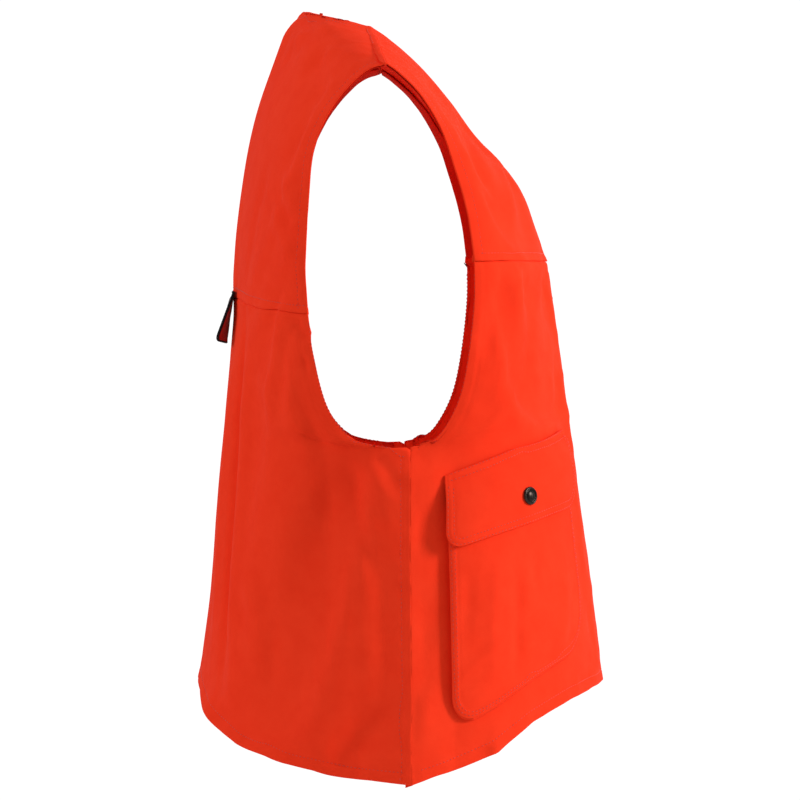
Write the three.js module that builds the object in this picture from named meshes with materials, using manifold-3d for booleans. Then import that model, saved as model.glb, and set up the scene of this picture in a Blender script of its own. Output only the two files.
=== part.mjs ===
// Blaze orange hunting vest, standing as if worn. Millimetres, +Z up.
// The front faces -Y and the wearer's right side is on -X.
import * as THREE from "three";
import Module from "manifold-3d";

// ---- Driving dimensions -------------------------------------------------
// Outline points are [x, y, z] of the right half, counted from the floor
// below the side seams' hem. Everything is moved by SHOULDERS at the end.
const SHOULDERS = [0, 27, 632]; // between the two shoulder seams: the origin
const CLOTH = 1.6; // folded and stitched cotton cloth
const GAP = 0.4; // between pieces that touch

const SIDE_SEAM = [[-216, 0, 0], [-212, 0, 100], [-208, 0, 200], [-205, 1, 289]];
const FRONT_EDGE = [[0, -168, 94], [0, -141.7, 288]]; // the zipper runs here
const FRONT_EDGE_TOP = [[0, -141.7, 288], [0, -123.5, 422]];
const V_START = [[0, -123.5, 422], [-12, -119.5, 448]];
const V_NECK = [
  [-12, -119.5, 448], [-22, -110, 474], [-36, -98, 506], [-47, -81, 530], [-58, -57, 555],
  [-72, -35, 585], [-84, -9, 615], [-92, 17, 638], [-95, 33, 649],
];
const ARMHOLE_FRONT_LOW = [
  [-205, 1, 289], [-204, -14, 292], [-202, -27, 303], [-197, -41, 330], [-190, -49, 366],
  [-178, -54, 412], [-172, -54, 448],
];
const ARMHOLE_FRONT_HIGH = [
  [-172, -54, 448], [-170, -48, 488], [-172, -37, 527], [-178, -25, 562], [-184, -7, 591],
  [-189, 10, 608], [-192, 21, 616],
];
const BACK_MIDDLE_LOW = [[0, 182, 95], [0, 172, 160], [0, 165, 248], [0, 160, 300]];
const BACK_MIDDLE = [[0, 160, 300], [0, 154, 366], [0, 149, 419]];
const BACK_MIDDLE_HIGH = [
  [0, 149, 419], [0, 149, 466], [0, 144, 510], [0, 137, 553], [0, 126, 597], [0, 109, 641],
  [0, 91, 665],
];
const BACK_NECK = [[0, 91, 665], [-36, 87, 664], [-66, 73, 660], [-86, 54, 655], [-95, 33, 649]];
const ARMHOLE_BACK_LOW = [
  [-205, 1, 289], [-204.5, 28, 289.6], [-202, 52, 297], [-198, 72, 324], [-192, 84, 370],
  [-188, 88, 403],
];
const ARMHOLE_BACK_HIGH = [
  [-188, 88, 403], [-186, 90, 442], [-184, 88, 490], [-184, 84, 540], [-186, 72, 571],
  [-189, 55, 595], [-191, 37, 611], [-192, 21, 616],
];
// Heights along a panel: 0 hem, 1 underarm, 2 yoke seam, 3 shoulder seam.
const FRONT = {
  middle: [[0, 1, FRONT_EDGE], [1, 1.8, FRONT_EDGE_TOP], [1.8, 2, V_START], [2, 3, V_NECK]],
  edge: [[0, 1, SIDE_SEAM], [1, 2, ARMHOLE_FRONT_LOW], [2, 3, ARMHOLE_FRONT_HIGH]],
  squareness: [[0, 2.1], [1, 2.2], [2, 2.1], [3, 2]],
  hem: [[0, 0], [0.18, -6], [0.43, -12], [0.62, -5], [0.8, -5], [1, -10]],
  outwards: -1,
};
const BACK = {
  middle: [
    [0, 1, BACK_MIDDLE_LOW], [1, 2, BACK_MIDDLE], [2, 2.75, BACK_MIDDLE_HIGH],
    [2.75, 3, BACK_NECK],
  ],
  edge: [[0, 1, SIDE_SEAM], [1, 2, ARMHOLE_BACK_LOW], [2, 3, ARMHOLE_BACK_HIGH]],
  squareness: [[0, 2.6], [1, 2.4], [2, 2.2], [3, 2]],
  hem: [[0, 0], [0.2, 3.5], [0.46, 5.5], [0.68, 1], [0.82, -8], [1, -9]],
  outwards: 1,
};
// The hem hangs unevenly: [distance round from the side seam, drop], faded out above the hem.
const HEM_FADE = 0.4;
const ROUNDNESS = [[0, 1], [1.2, 1], [2, 0.8], [2.6, 0.45], [3, 0]];

const FACING_WIDTH = 14;
const FACING = 0.9;
const ARM_FACING_GAP = 4.2;
const NECK_FACING_GAP = 4.4;

// Cargo pocket and flap: corners as [across, height] on the front panel,
// where across is 0 at the zipper and 1 at the side seam.
const POCKET = {
  topFront: [0.335, 0.975], topSide: [0.892, 0.8],
  lowFront: [0.33, 0.165], lowSide: [0.88, 0.109], corner: 26,
};
const FLAP = {
  topFront: [0.29, 1.1], topSide: [0.8946, 0.905],
  lowFront: [0.322, 0.75], lowSide: [0.9025, 0.65], corner: 16,
};
const POCKET_STANDS = 10; // bellows depth
const FLAP_STANDS = 14.9;
const FLAP_RISE = 0.6; // share of the flap's length over which it leaves the panel
const SNAP_AT = [0.596, 0.808];
const CAP_RADIUS = 7.8;

const ZIP = { toothWidth: 2.6, toothDepth: 2.8, between: 1.2, pitch: 11, tape: 13, tapeDepth: 0.8 };
const ZIP_START = 8; // above the front hem
const SLIDER = { length: 12, width: 9.4, plate: 1.2, clear: 0.4 };
const PULL = { width: 7, length: 30, depth: 1.6 };
const PANEL_FROM_ZIP = 6.5; // bare front edge to the middle line
const ZIP_SET_BACK = 3; // the zipper lies behind the turned front edges

const HOLDER = { width: 84, height: 44, top: 421, tilt: 15, cloth: 1.6, window: 0.8, rim: 7 };
const LOOP = { width: 52, drop: 20, wide: 9, depth: 1.2 };
const LABEL = { across: 0.16, low: 2.46, top: 2.58, depth: 0.8 };

// ---- Materials ----------------------------------------------------------
const look = (colour, roughness, metalness = 0) => ({ colour, roughness, metalness });
const ORANGE = look("#f0401c", 0.85);
const ORANGE_DEEP = look("#e03a18", 0.88);
const DARK_RED = look("#9c1608", 0.8);
const VINYL = look("#d8dee0", 0.15);
const GUNMETAL = look("#4a4a48", 0.35, 0.9);
const ZIP_TAPE = look("#e4451f", 0.9);
const ZIP_PLASTIC = look("#e24a22", 0.45);
const LABEL_WHITE = look("#f2eee6", 0.8);

// ---- Curves and surfaces ------------------------------------------------
const vec = (p) => new THREE.Vector3(...p);
const mix = (a, b, t) => a + (b - a) * t;

// A smooth line through the points, t from 0 to 1.
function spline(points, t) {
  const last = points.length - 1;
  const at = Math.min(Math.max(t, 0), 1) * last;
  const i = Math.min(Math.floor(at), last - 1);
  const f = at - i;
  return vec([0, 1, 2].map((k) => {
    const b = points[i][k];
    const c = points[i + 1][k];
    const a = i > 0 ? points[i - 1][k] : 2 * b - c;
    const d = i + 2 <= last ? points[i + 2][k] : 2 * c - b;
    const cubic = 3 * b - a - 3 * c + d;
    return 0.5 * (2 * b + (c - a) * f + (2 * a - 5 * b + 4 * c - d) * f * f + cubic * f ** 3);
  }));
}

function along(legs, height) {
  const [low, high, points] = legs.find((leg) => height <= leg[1]) ?? legs.at(-1);
  return spline(points, (height - low) / (high - low));
}

function lookUp(table, height) {
  for (let i = 1; i < table.length; i += 1) {
    const [low, a] = table[i - 1];
    const [high, b] = table[i];
    if (height <= high) return mix(a, b, (height - low) / (high - low));
  }
  return table.at(-1)[1];
}

// A point of the right half: across 0 at the middle, 1 at the side or armhole.
function onBody(side, across, height) {
  const m = along(side.middle, height);
  const e = along(side.edge, height);
  const round = lookUp(ROUNDNESS, height);
  const power = 2 / lookUp(side.squareness, height);
  const angle = (Math.PI / 2) * Math.min(Math.max(across, 0), 1);
  const wide = Math.sin(angle) ** power;
  const deep = 1 - Math.cos(angle) ** power;
  const fall = side === FRONT ? deep : wide ** 1.6;
  const point = new THREE.Vector3(
    mix(m.x, e.x, mix(across, wide, round)),
    mix(m.y, e.y, mix(across, deep, round)),
    mix(m.z, e.z, mix(across, fall, round)),
  );
  if (height >= HEM_FADE) return point;
  const drop = lookUp(side.hem, Math.min(Math.abs(point.y / m.y), 1));
  point.z += drop * (1 - height / HEM_FADE) ** 2;
  return point;
}

// Faces away from the wearer.
function normalOn(side, across, height) {
  const h = 0.004;
  const farthest = height > 0.99 && height < 1.4 ? 0.9 : 0.985; // the underarm corner is sharp
  const a0 = Math.min(Math.max(across, 0.02), farthest);
  const v0 = Math.min(Math.max(height, h), 3 - h);
  const s = onBody(side, a0 + h, v0).sub(onBody(side, a0 - h, v0));
  const t = onBody(side, a0, v0 + h).sub(onBody(side, a0, v0 - h));
  const n = s.cross(t).normalize().multiplyScalar(side.outwards);
  if (across < 0.02) n.x *= Math.max(across, 0) / 0.02;
  return n.normalize();
}

function lifted(side, across, height, out) {
  return onBody(side, across, height).addScaledVector(normalOn(side, across, height), out);
}

// ---- Solids -------------------------------------------------------------
// A closed body between two skins inner(s, t) and outer(s, t), s and t 0 to 1.
function between(inner, outer, across, up, closedUp = false, symmetric = false) {
  const rows = closedUp ? up : up + 1;
  const skin = (across + 1) * rows;
  const points = [];
  [inner, outer].forEach((at) => {
    for (let j = 0; j < rows; j += 1) {
      for (let i = 0; i <= across; i += 1) points.push(...at(i / across, j / up).toArray());
    }
  });
  const index = [];
  const id = (layer, i, j) => layer * skin + (closedUp ? j % up : j) * (across + 1) + i;
  const quad = (a, b, c, d) => index.push(a, b, c, a, c, d);
  const turnedQuad = (a, b, c, d) => index.push(a, b, d, b, c, d);
  for (let j = 0; j < up; j += 1) {
    for (let i = 0; i < across; i += 1) {
      const face = symmetric && i >= across / 2 ? turnedQuad : quad;
      face(id(1, i, j), id(1, i + 1, j), id(1, i + 1, j + 1), id(1, i, j + 1));
      face(id(0, i + 1, j), id(0, i, j), id(0, i, j + 1), id(0, i + 1, j + 1));
    }
    quad(id(0, 0, j), id(1, 0, j), id(1, 0, j + 1), id(0, 0, j + 1));
    quad(id(0, across, j + 1), id(1, across, j + 1), id(1, across, j), id(0, across, j));
  }
  if (!closedUp) {
    for (let i = 0; i < across; i += 1) {
      quad(id(0, i + 1, 0), id(1, i + 1, 0), id(1, i, 0), id(0, i, 0));
      quad(id(0, i, up), id(1, i, up), id(1, i + 1, up), id(0, i + 1, up));
    }
  }
  const g = new THREE.BufferGeometry();
  g.setAttribute("position", new THREE.Float32BufferAttribute(points, 3));
  g.setIndex(index);
  return facingOut(g);
}

function facingOut(g) {
  const p = g.attributes.position;
  const t = g.index.array;
  const a = new THREE.Vector3();
  const b = new THREE.Vector3();
  const c = new THREE.Vector3();
  let volume = 0;
  for (let i = 0; i < t.length; i += 3) {
    a.fromBufferAttribute(p, t[i]);
    b.fromBufferAttribute(p, t[i + 1]);
    c.fromBufferAttribute(p, t[i + 2]);
    volume += a.dot(b.cross(c));
  }
  if (volume < 0) turnFaces(g);
  return g;
}

function turnFaces(g) {
  const t = g.index.array;
  for (let i = 0; i < t.length; i += 3) [t[i + 1], t[i + 2]] = [t[i + 2], t[i + 1]];
}

function mirrored(g) {
  const m = g.clone();
  m.scale(-1, 1, 1);
  turnFaces(m);
  return m;
}

// Cloth laid over the right half between two heights.
function halfPanel(side, from, to, inside, outside, across, up) {
  const at = (out) => (s, t) => {
    const height = mix(from, to, t);
    return lifted(side, mix(inside(height), outside(height), s), height, out);
  };
  return between(at(-CLOTH / 2), at(CLOTH / 2), across, up);
}

// Cloth laid over both halves of the back between two heights.
function widePanel(heightAt, outside, across, up) {
  const at = (out) => (s, t) => {
    const height = heightAt(t);
    const u = (2 * s - 1) * outside(height);
    const p = lifted(BACK, Math.abs(u), height, out);
    if (u > 0) p.x = -p.x;
    return p;
  };
  return between(at(-CLOTH / 2), at(CLOTH / 2), across, up, false, true);
}

const wasm = await Module();
wasm.setup();

function toSolid(g) {
  return new wasm.Manifold(new wasm.Mesh({
    numProp: 3,
    vertProperties: new Float32Array(g.attributes.position.array),
    triVerts: new Uint32Array(g.index.array),
  }));
}

function toGeometry(solid) {
  const m = solid.getMesh();
  const g = new THREE.BufferGeometry();
  g.setAttribute("position", new THREE.Float32BufferAttribute(m.vertProperties, 3));
  g.setIndex([...m.triVerts]);
  return g;
}

function box(wide, deep, high, x, y, z) {
  return wasm.Manifold.cube([wide, deep, high], true).translate([x, y, z]);
}

function turned(profile, sides) {
  return toSolid(indexed(new THREE.LatheGeometry(profile.map((p) => new THREE.Vector2(...p)), sides)));
}

// Welds a three.js shape so that its faces share corners.
function indexed(g) {
  const p = g.index ? g.toNonIndexed().attributes.position : g.attributes.position;
  const seen = new Map();
  const points = [];
  const index = [];
  for (let i = 0; i < p.count; i += 1) {
    const q = [p.getX(i), p.getY(i), p.getZ(i)];
    const key = q.map((c) => Math.round(c * 1e4)).join();
    if (!seen.has(key)) {
      seen.set(key, points.length / 3);
      points.push(...q);
    }
    index.push(seen.get(key));
  }
  const kept = [];
  for (let i = 0; i < index.length; i += 3) {
    const [a, b, c] = index.slice(i, i + 3);
    if (a !== b && b !== c && c !== a) kept.push(a, b, c);
  }
  const w = new THREE.BufferGeometry();
  w.setAttribute("position", new THREE.Float32BufferAttribute(points, 3));
  w.setIndex(kept);
  return facingOut(w);
}

const vest = new THREE.Group();
vest.name = "blaze_orange_vest";

function add(name, geometry, material) {
  geometry.translate(...SHOULDERS.map((c) => -c));
  geometry.computeVertexNormals();
  const surface = new THREE.MeshStandardMaterial({
    color: material.colour,
    roughness: material.roughness,
    metalness: material.metalness,
    flatShading: true,
  });
  const mesh = new THREE.Mesh(geometry, surface);
  mesh.name = name;
  vest.add(mesh);
}

function addPair(name, geometry, material) {
  add("left_" + name, mirrored(geometry), material);
  add("right_" + name, geometry, material);
}

// ---- Cloth panels -------------------------------------------------------
const SEAM = 0.006; // half the gap at a seam, as a share of a panel's height
const nearSide = () => 0.9985;
const besideZip = (height) => {
  if (height > 1.8) return 0;
  let u = 0;
  while (onBody(FRONT, u, height).x > -PANEL_FROM_ZIP) u += 0.002;
  return u;
};
const opening = (height) => (height > 1.75 ? besideZip(1.75) * Math.max(0, (2 - height) / 0.25) : besideZip(height));


// The back yoke is open at the neck, so its two halves are made apart and joined at the middle.
const NECK_CORNER = 2.75; // where the back's middle line meets the neckline
const yokeHeight = (t) => (t < 0.75
  ? mix(2 + SEAM, NECK_CORNER, t / 0.75)
  : mix(NECK_CORNER, 3 - SEAM, (t - 0.75) / 0.25));
function yokeSkin(out) {
  return (s, t) => {
    const p = lifted(BACK, s, yokeHeight(t), out);
    if (s === 0 && t <= 0.76) p.x = 0.4;
    return p;
  };
}
const halfYoke = between(yokeSkin(-CLOTH / 2), yokeSkin(CLOTH / 2), 12, 16);
add("back_yoke", toGeometry(toSolid(halfYoke).add(toSolid(mirrored(halfYoke)))), ORANGE);
const backPanel = widePanel((t) => mix(0, 2 - SEAM, t), nearSide, 30, 18);
add("back_panel", backPanel.clone(), ORANGE);
addPair("front_yoke", halfPanel(FRONT, 2 + SEAM, 3 - SEAM, () => 0, () => 1, 7, 12), ORANGE);
addPair("front_panel", halfPanel(FRONT, 0, 2 - SEAM, opening, nearSide, 12, 18), ORANGE);

// ---- Facings on the inside of the armholes and the neck -----------------
// The place on a panel that lies closest to a point.
function nearest(side, point, start) {
  let [u, v] = start;
  let best = onBody(side, u, v).distanceTo(point);
  let step = 0.08;
  while (step > 0.0004) {
    const tries = [[step, 0], [-step, 0], [0, step], [0, -step]].map(([du, dv]) => {
      const nextU = Math.min(Math.max(u + du, 0), 1);
      const nextV = Math.min(Math.max(v + dv, 0), 3);
      return [nextU, nextV, onBody(side, nextU, nextV).distanceTo(point)];
    });
    const closest = tries.reduce((x, y) => (y[2] < x[2] ? y : x));
    if (closest[2] < best) [u, v, best] = closest;
    else step /= 2;
  }
  return { u, v, best };
}

// A strip behind an edge: frame(t) gives the edge point, the way in and the two panels beside it.
function facing(frame, steps, gap, closed, bothSides = false) {
  const spots = new Map();
  const spot = (s, t) => {
    const key = s + "," + t;
    if (!spots.has(key)) {
      const { point, inwards, start } = frame(t);
      const target = point.clone().addScaledVector(inwards, 1 + s * FACING_WIDTH);
      const found = [FRONT, BACK].map((side) => ({ side, ...nearest(side, target, start) }));
      const { side, u, v } = found[0].best < found[1].best ? found[0] : found[1];
      spots.set(key, { point: onBody(side, u, v), normal: normalOn(side, Math.min(u, 0.93), v) });
    }
    return spots.get(key);
  };
  const skin = (lift) => (s, t) => {
    const turn = bothSides ? 1 - Math.abs(2 * t - 1) : t % (closed ? 1 : 2);
    const { point, normal } = spot(s, turn);
    const p = point.clone().addScaledVector(normal, -(CLOTH / 2 + gap + lift));
    if (bothSides && turn > 0.999) p.x = 0;
    if (bothSides && t > 0.5) p.x = -p.x;
    return p;
  };
  return between(skin(FACING), skin(0), 2, steps, closed);
}

function wayIn(edgeAt, t, normal, hole) {
  const tangent = edgeAt(t + 0.01).sub(edgeAt(t - 0.01)).normalize();
  const inwards = normal.clone().cross(tangent).normalize();
  if (inwards.dot(hole.clone().sub(edgeAt(t))) > 0) inwards.negate();
  return inwards;
}

// Once round the armhole: up the front from the underarm, then down the back.
function armhole(t) {
  const turn = ((t % 1) + 1) % 1;
  const side = turn < 0.5 ? FRONT : BACK;
  return { side, height: turn < 0.5 ? 1 + 4 * turn : 3 - 4 * (turn - 0.5) };
}
const armholeEdge = (t) => along(armhole(t).side.edge, armhole(t).height);
function armholeFrame(t) {
  const { side, height } = armhole(t);
  const beside = height < 1.35 ? 0.96 : height;
  const inwards = wayIn(armholeEdge, t, normalOn(side, 0.95, beside), vec([-190, 17, 450]));
  return { point: armholeEdge(t), inwards, start: [0.95, beside] };
}
// Below the underarm the facing is pared back wherever it would press on the back panel.
function pared(strip, panel) {
  const whole = toSolid(strip);
  const body = toSolid(panel);
  const rest = whole.subtract(body).subtract(body.translate([0.6, 0, 0]));
  return toGeometry(rest.decompose().reduce((a, b) => (b.volume() > a.volume() ? b : a)));
}
const armholeStrip = facing(armholeFrame, 44, ARM_FACING_GAP, true);
addPair("armhole_facing", pared(armholeStrip, backPanel), ORANGE_DEEP);

// Round the neck: the right half from the front yoke's foot to the middle of the back.
const NECK_TURN = 0.62; // share of the half that lies on the front
function neckEdge(t) {
  if (t < NECK_TURN) return along(FRONT.middle, mix(2.03, 3, t / NECK_TURN));
  return along(BACK.middle, mix(3, 2.75, (t - NECK_TURN) / (1 - NECK_TURN)));
}
function neckFrame(t) {
  const at = Math.min(Math.max(t, 0.01), 0.985);
  const front = at < NECK_TURN;
  const height = front ? mix(2.03, 3, at / NECK_TURN) : 2.85;
  const normal = normalOn(front ? FRONT : BACK, 0.06, Math.min(height, 2.95));
  const inwards = wayIn(neckEdge, at, normal, vec([0, -30, 600]));
  return { point: neckEdge(t), inwards, start: [0.1, height] };
}
add("neck_facing", facing(neckFrame, 44, NECK_FACING_GAP, false, true), ORANGE_DEEP);

// ---- Pockets and flaps --------------------------------------------------
function place(patch, s, t) {
  const low = [0, 1].map((k) => mix(patch.lowFront[k], patch.lowSide[k], s));
  const top = [0, 1].map((k) => mix(patch.topFront[k], patch.topSide[k], s));
  return [mix(low[0], top[0], t), mix(low[1], top[1], t)];
}

function patchSize(patch) {
  const at = (s, t) => onBody(FRONT, ...place(patch, s, t));
  const wide = at(0, 0.5).distanceTo(at(0.5, 0.5)) + at(0.5, 0.5).distanceTo(at(1, 0.5));
  return { wide, high: at(0.5, 0).distanceTo(at(0.5, 1)) };
}

// How far the lower corners are rounded away at s, as a share of the height.
function corner(s, size, radius) {
  const fromSide = Math.min(s, 1 - s) * size.wide;
  const short = Math.max(0, radius - fromSide);
  return (radius - Math.sqrt(radius ** 2 - short ** 2)) / size.high;
}

// A block over part of the front panel, between two heights above its middle.
function block(patch, from, to, inset, above, across, up) {
  const size = patchSize(patch);
  const rim = inset / size.wide;
  const radius = patch.corner - inset * 0.6;
  const at = (out) => (s, t) => {
    const x = mix(rim, 1 - rim, 0.5 - 0.5 * Math.cos(Math.PI * s) * (0.7 + 0.3 * Math.abs(2 * s - 1)));
    const foot = inset / size.high + corner(x, size, patch.corner) * (radius / patch.corner);
    const place2 = place(patch, x, mix(foot, 1 + above, t));
    return lifted(FRONT, place2[0], place2[1], out(t));
  };
  return between(at(from), at(to), across, up);
}

const constant = (value) => () => value;
const pocketOuter = block(POCKET, constant(CLOTH / 2 + GAP), constant(POCKET_STANDS), 0, 0, 12, 8);
const pocketInner = block(POCKET, constant(-1), constant(POCKET_STANDS - CLOTH), 2, 0.1, 12, 8);
addPair("pocket", toGeometry(toSolid(pocketOuter).subtract(toSolid(pocketInner))), ORANGE);

const flapLift = (t) => {
  const down = Math.min((1 - t) / FLAP_RISE, 1);
  return mix(CLOTH + 1.2, FLAP_STANDS - CLOTH / 2, Math.sin((Math.PI / 2) * down));
};
const flapBody = block(FLAP, (t) => flapLift(t) - CLOTH / 2, (t) => flapLift(t) + CLOTH / 2, 0, 0, 12, 8);
addPair("pocket_flap", flapBody, ORANGE);

// ---- Snap fastener: cap and socket on the flap, stud on the pocket ------
const snapFoot = onBody(FRONT, ...SNAP_AT);
const snapAxis = normalOn(FRONT, ...SNAP_AT);
function atSnap(solid) {
  const g = toGeometry(solid);
  g.applyQuaternion(new THREE.Quaternion().setFromUnitVectors(new THREE.Vector3(0, 1, 0), snapAxis));
  g.translate(snapFoot.x, snapFoot.y, snapFoot.z);
  return g;
}
const capFoot = FLAP_STANDS + GAP;
const capProfile = [
  [0, capFoot], [CAP_RADIUS - 0.6, capFoot], [CAP_RADIUS, capFoot + 0.7], [CAP_RADIUS - 0.7, capFoot + 1.4],
  [CAP_RADIUS - 2, capFoot + 1.1], [CAP_RADIUS - 3, capFoot + 1.5], [3, capFoot + 2.1], [0, capFoot + 2.3],
];
addPair("snap_cap", atSnap(turned(capProfile, 28)), GUNMETAL);
const socketTop = FLAP_STANDS - CLOTH - 0.5;
const socketProfile = [
  [2.7, socketTop], [2.7, socketTop - 1.5], [5.2, socketTop - 1.5], [5.6, socketTop - 1], [5.6, socketTop],
  [2.7, socketTop],
];
addPair("snap_socket", atSnap(turned(socketProfile, 24)), GUNMETAL);
const studFoot = POCKET_STANDS + 0.3;
const studProfile = [
  [0, studFoot], [5, studFoot], [5, studFoot + 0.5], [2, studFoot + 0.7], [2.2, studFoot + 1.7],
  [1.5, studFoot + 2.2], [0, studFoot + 2.2],
];
addPair("snap_stud", atSnap(turned(studProfile, 24)), GUNMETAL);

// ---- Front zipper -------------------------------------------------------
// Built upright, then leaned onto the front edge. y is the depth behind it.
const zipFoot = vec(FRONT_EDGE[0]);
const zipTop = vec(FRONT_EDGE_TOP[1]);
const zipLength = zipTop.distanceTo(zipFoot);
const zipUp = zipTop.clone().sub(zipFoot).normalize();
const zipIn = new THREE.Vector3(0, zipUp.z, -zipUp.y);
const TAPE_DEPTH = CLOTH / 2 + 3 * GAP + ZIP_SET_BACK + ZIP.tapeDepth / 2;
function onZip(solid) {
  const g = toGeometry(solid);
  const turn = new THREE.Matrix4().makeBasis(new THREE.Vector3(1, 0, 0), zipIn, zipUp);
  g.applyMatrix4(turn);
  const at = zipFoot.clone().addScaledVector(zipIn, TAPE_DEPTH);
  g.translate(at.x, at.y, at.z);
  return g;
}
const inner = ZIP.between / 2; // the teeth's inner side
const outer = inner + ZIP.toothWidth;
const sliderTop = zipLength - 2;
const sliderLow = sliderTop - SLIDER.length;
const rightTop = zipLength - 0.5;
const leftTop = sliderLow - 1;

function tape(side, top) {
  const start = outer + 0.3;
  const length = top - ZIP_START;
  return box(ZIP.tape, ZIP.tapeDepth, length, side * (start + ZIP.tape / 2), 0, ZIP_START + length / 2);
}
// A bar whose outer side is notched between the teeth.
function teeth(side, top) {
  const foot = ZIP_START + 14;
  const shape = new THREE.Shape();
  shape.moveTo(inner, foot);
  shape.lineTo(inner, top);
  let z = top;
  while (z - ZIP.pitch > foot) {
    shape.lineTo(outer, z);
    shape.lineTo(outer, z - ZIP.pitch * 0.6);
    shape.lineTo(outer - 1, z - ZIP.pitch * 0.6);
    shape.lineTo(outer - 1, z - ZIP.pitch);
    z -= ZIP.pitch;
  }
  shape.lineTo(outer, z);
  shape.lineTo(outer, foot);
  const bar = new THREE.ExtrudeGeometry(shape, { depth: ZIP.toothDepth, bevelEnabled: false });
  bar.rotateX(Math.PI / 2);
  bar.translate(0, ZIP.toothDepth / 2, 0);
  const solid = toSolid(indexed(bar));
  return side < 0 ? solid.mirror([1, 0, 0]) : solid;
}
add("right_zipper_tape", onZip(tape(-1, rightTop)), ZIP_TAPE);
add("left_zipper_tape", onZip(tape(1, leftTop)), ZIP_TAPE);
add("right_zipper_teeth", onZip(teeth(-1, rightTop - 3.5)), ZIP_PLASTIC);
add("left_zipper_teeth", onZip(teeth(1, leftTop - 3.5)), ZIP_PLASTIC);

const stop = (side, top) => box(2.4, 2.6, 3, side * (inner + 1.3), 0, top - 1.6);
add("right_top_stop", onZip(stop(-1, rightTop)), GUNMETAL);
add("left_top_stop", onZip(stop(1, leftTop)), GUNMETAL);

// The bottom box is fixed to the right side; the left side's pin drops into it.
const boxHigh = 9;
const boxOuter = box(8.4, 5, boxHigh, 0, 0, ZIP_START + boxHigh / 2);
const boxHole = box(3, 3, boxHigh, 1.9, 0, ZIP_START + boxHigh / 2 + 1.6);
const boxSide = box(2, 1.6, boxHigh + 2, 4, 0, ZIP_START + boxHigh / 2);
const boxTape = box(2, 1.6, boxHigh + 2, -4, 0, ZIP_START + boxHigh / 2);
add("zipper_bottom_box", onZip(boxOuter.subtract(boxHole).subtract(boxSide).subtract(boxTape)), GUNMETAL);
add("zipper_pin", onZip(box(2, 2, 11, 1.9, 0, ZIP_START + 8)), GUNMETAL);

// The slider wraps the teeth: two plates joined by a post between the rows.
const plateAt = ZIP.toothDepth / 2 + SLIDER.clear + SLIDER.plate / 2;
const sliderMiddle = (sliderTop + sliderLow) / 2;
const plate = (side) => box(SLIDER.width, SLIDER.plate, SLIDER.length, 0, side * plateAt, sliderMiddle);
const post = box(0.5, 2 * plateAt, 6, 0, 0, sliderMiddle);
const pinY = -(plateAt + SLIDER.plate / 2 + 2.1);
const pinZ = sliderMiddle + 2;
const lug = (side) => box(1.2, 3.4, 4, side * 3.1, pinY + 0.9, pinZ);
const crossPin = wasm.Manifold.cylinder(6.8, 0.7, 0.7, 12, true).rotate([0, 90, 0]).translate([0, pinY, pinZ]);
const slider = wasm.Manifold.union([plate(-1), plate(1), post, lug(-1), lug(1), crossPin]);
add("zipper_slider", onZip(slider), GUNMETAL);

const barrel = wasm.Manifold.cylinder(4.2, 1.7, 1.7, 16, true).rotate([0, 90, 0]).translate([0, pinY, pinZ]);
const bore = wasm.Manifold.cylinder(9, 1.05, 1.05, 16, true).rotate([0, 90, 0]).translate([0, pinY, pinZ]);
const tabTop = pinZ - 1.2;
const neck = box(3, PULL.depth, 8, 0, pinY, tabTop - 4);
const tab = box(PULL.width, PULL.depth, PULL.length - 8, 0, pinY, tabTop - 6 - (PULL.length - 8) / 2);
const tabHole = box(3, 5, 8, 0, pinY, tabTop - 6 - 12);
const pull = wasm.Manifold.union([barrel, neck, tab]).subtract(bore).subtract(tabHole);
add("zipper_pull", onZip(pull), GUNMETAL);

// ---- Licence holder on the middle of the back yoke seam -----------------
// Built flat, its top edge on the hinge line and its face on +Y.
const holderTop = onBody(BACK, 0, 2.0);
function onBack(solid) {
  const g = toGeometry(solid);
  g.rotateX(THREE.MathUtils.degToRad(HOLDER.tilt));
  g.translate(0, holderTop.y + CLOTH / 2 + 1.6, HOLDER.top);
  return g;
}
const backing = box(HOLDER.width, HOLDER.cloth, HOLDER.height, 0, HOLDER.cloth / 2, -HOLDER.height / 2);
add("licence_holder", onBack(backing), DARK_RED);
const windowWide = HOLDER.width - 2 * HOLDER.rim;
const windowHigh = HOLDER.height - HOLDER.rim - 3;
const windowY = HOLDER.cloth + 0.3 + HOLDER.window / 2;
const windowZ = -HOLDER.rim - windowHigh / 2;
add("licence_window", onBack(box(windowWide, HOLDER.window, windowHigh, 0, windowY, windowZ)), VINYL);

// ---- Hanger loop and blank label inside the back neck -------------------
const loopTop = along(BACK.middle, 2.74);
const loopPath = new THREE.CatmullRomCurve3([
  [-LOOP.width / 2, 0, 0], [-LOOP.width / 2 + 3, -3, -LOOP.drop * 0.55], [-LOOP.width / 4, -5, -LOOP.drop * 0.95],
  [0, -6, -LOOP.drop], [LOOP.width / 4, -5, -LOOP.drop * 0.95], [LOOP.width / 2 - 3, -3, -LOOP.drop * 0.55],
  [LOOP.width / 2, 0, 0],
].map(vec));
function loopSkin(lift) {
  return (s, t) => {
    const p = loopPath.getPoint(t);
    const d = loopPath.getTangent(t);
    const up = new THREE.Vector3(0, -1, 0).cross(d).normalize();
    const facingIn = d.clone().cross(up).normalize();
    p.addScaledVector(up, (s - 0.5) * 4).addScaledVector(facingIn, lift);
    return p.add(new THREE.Vector3(0, loopTop.y - 7.5, loopTop.z - 14));
  };
}
add("hanger_loop", between(loopSkin(0), loopSkin(LOOP.depth), 1, 18), ORANGE_DEEP);

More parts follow.
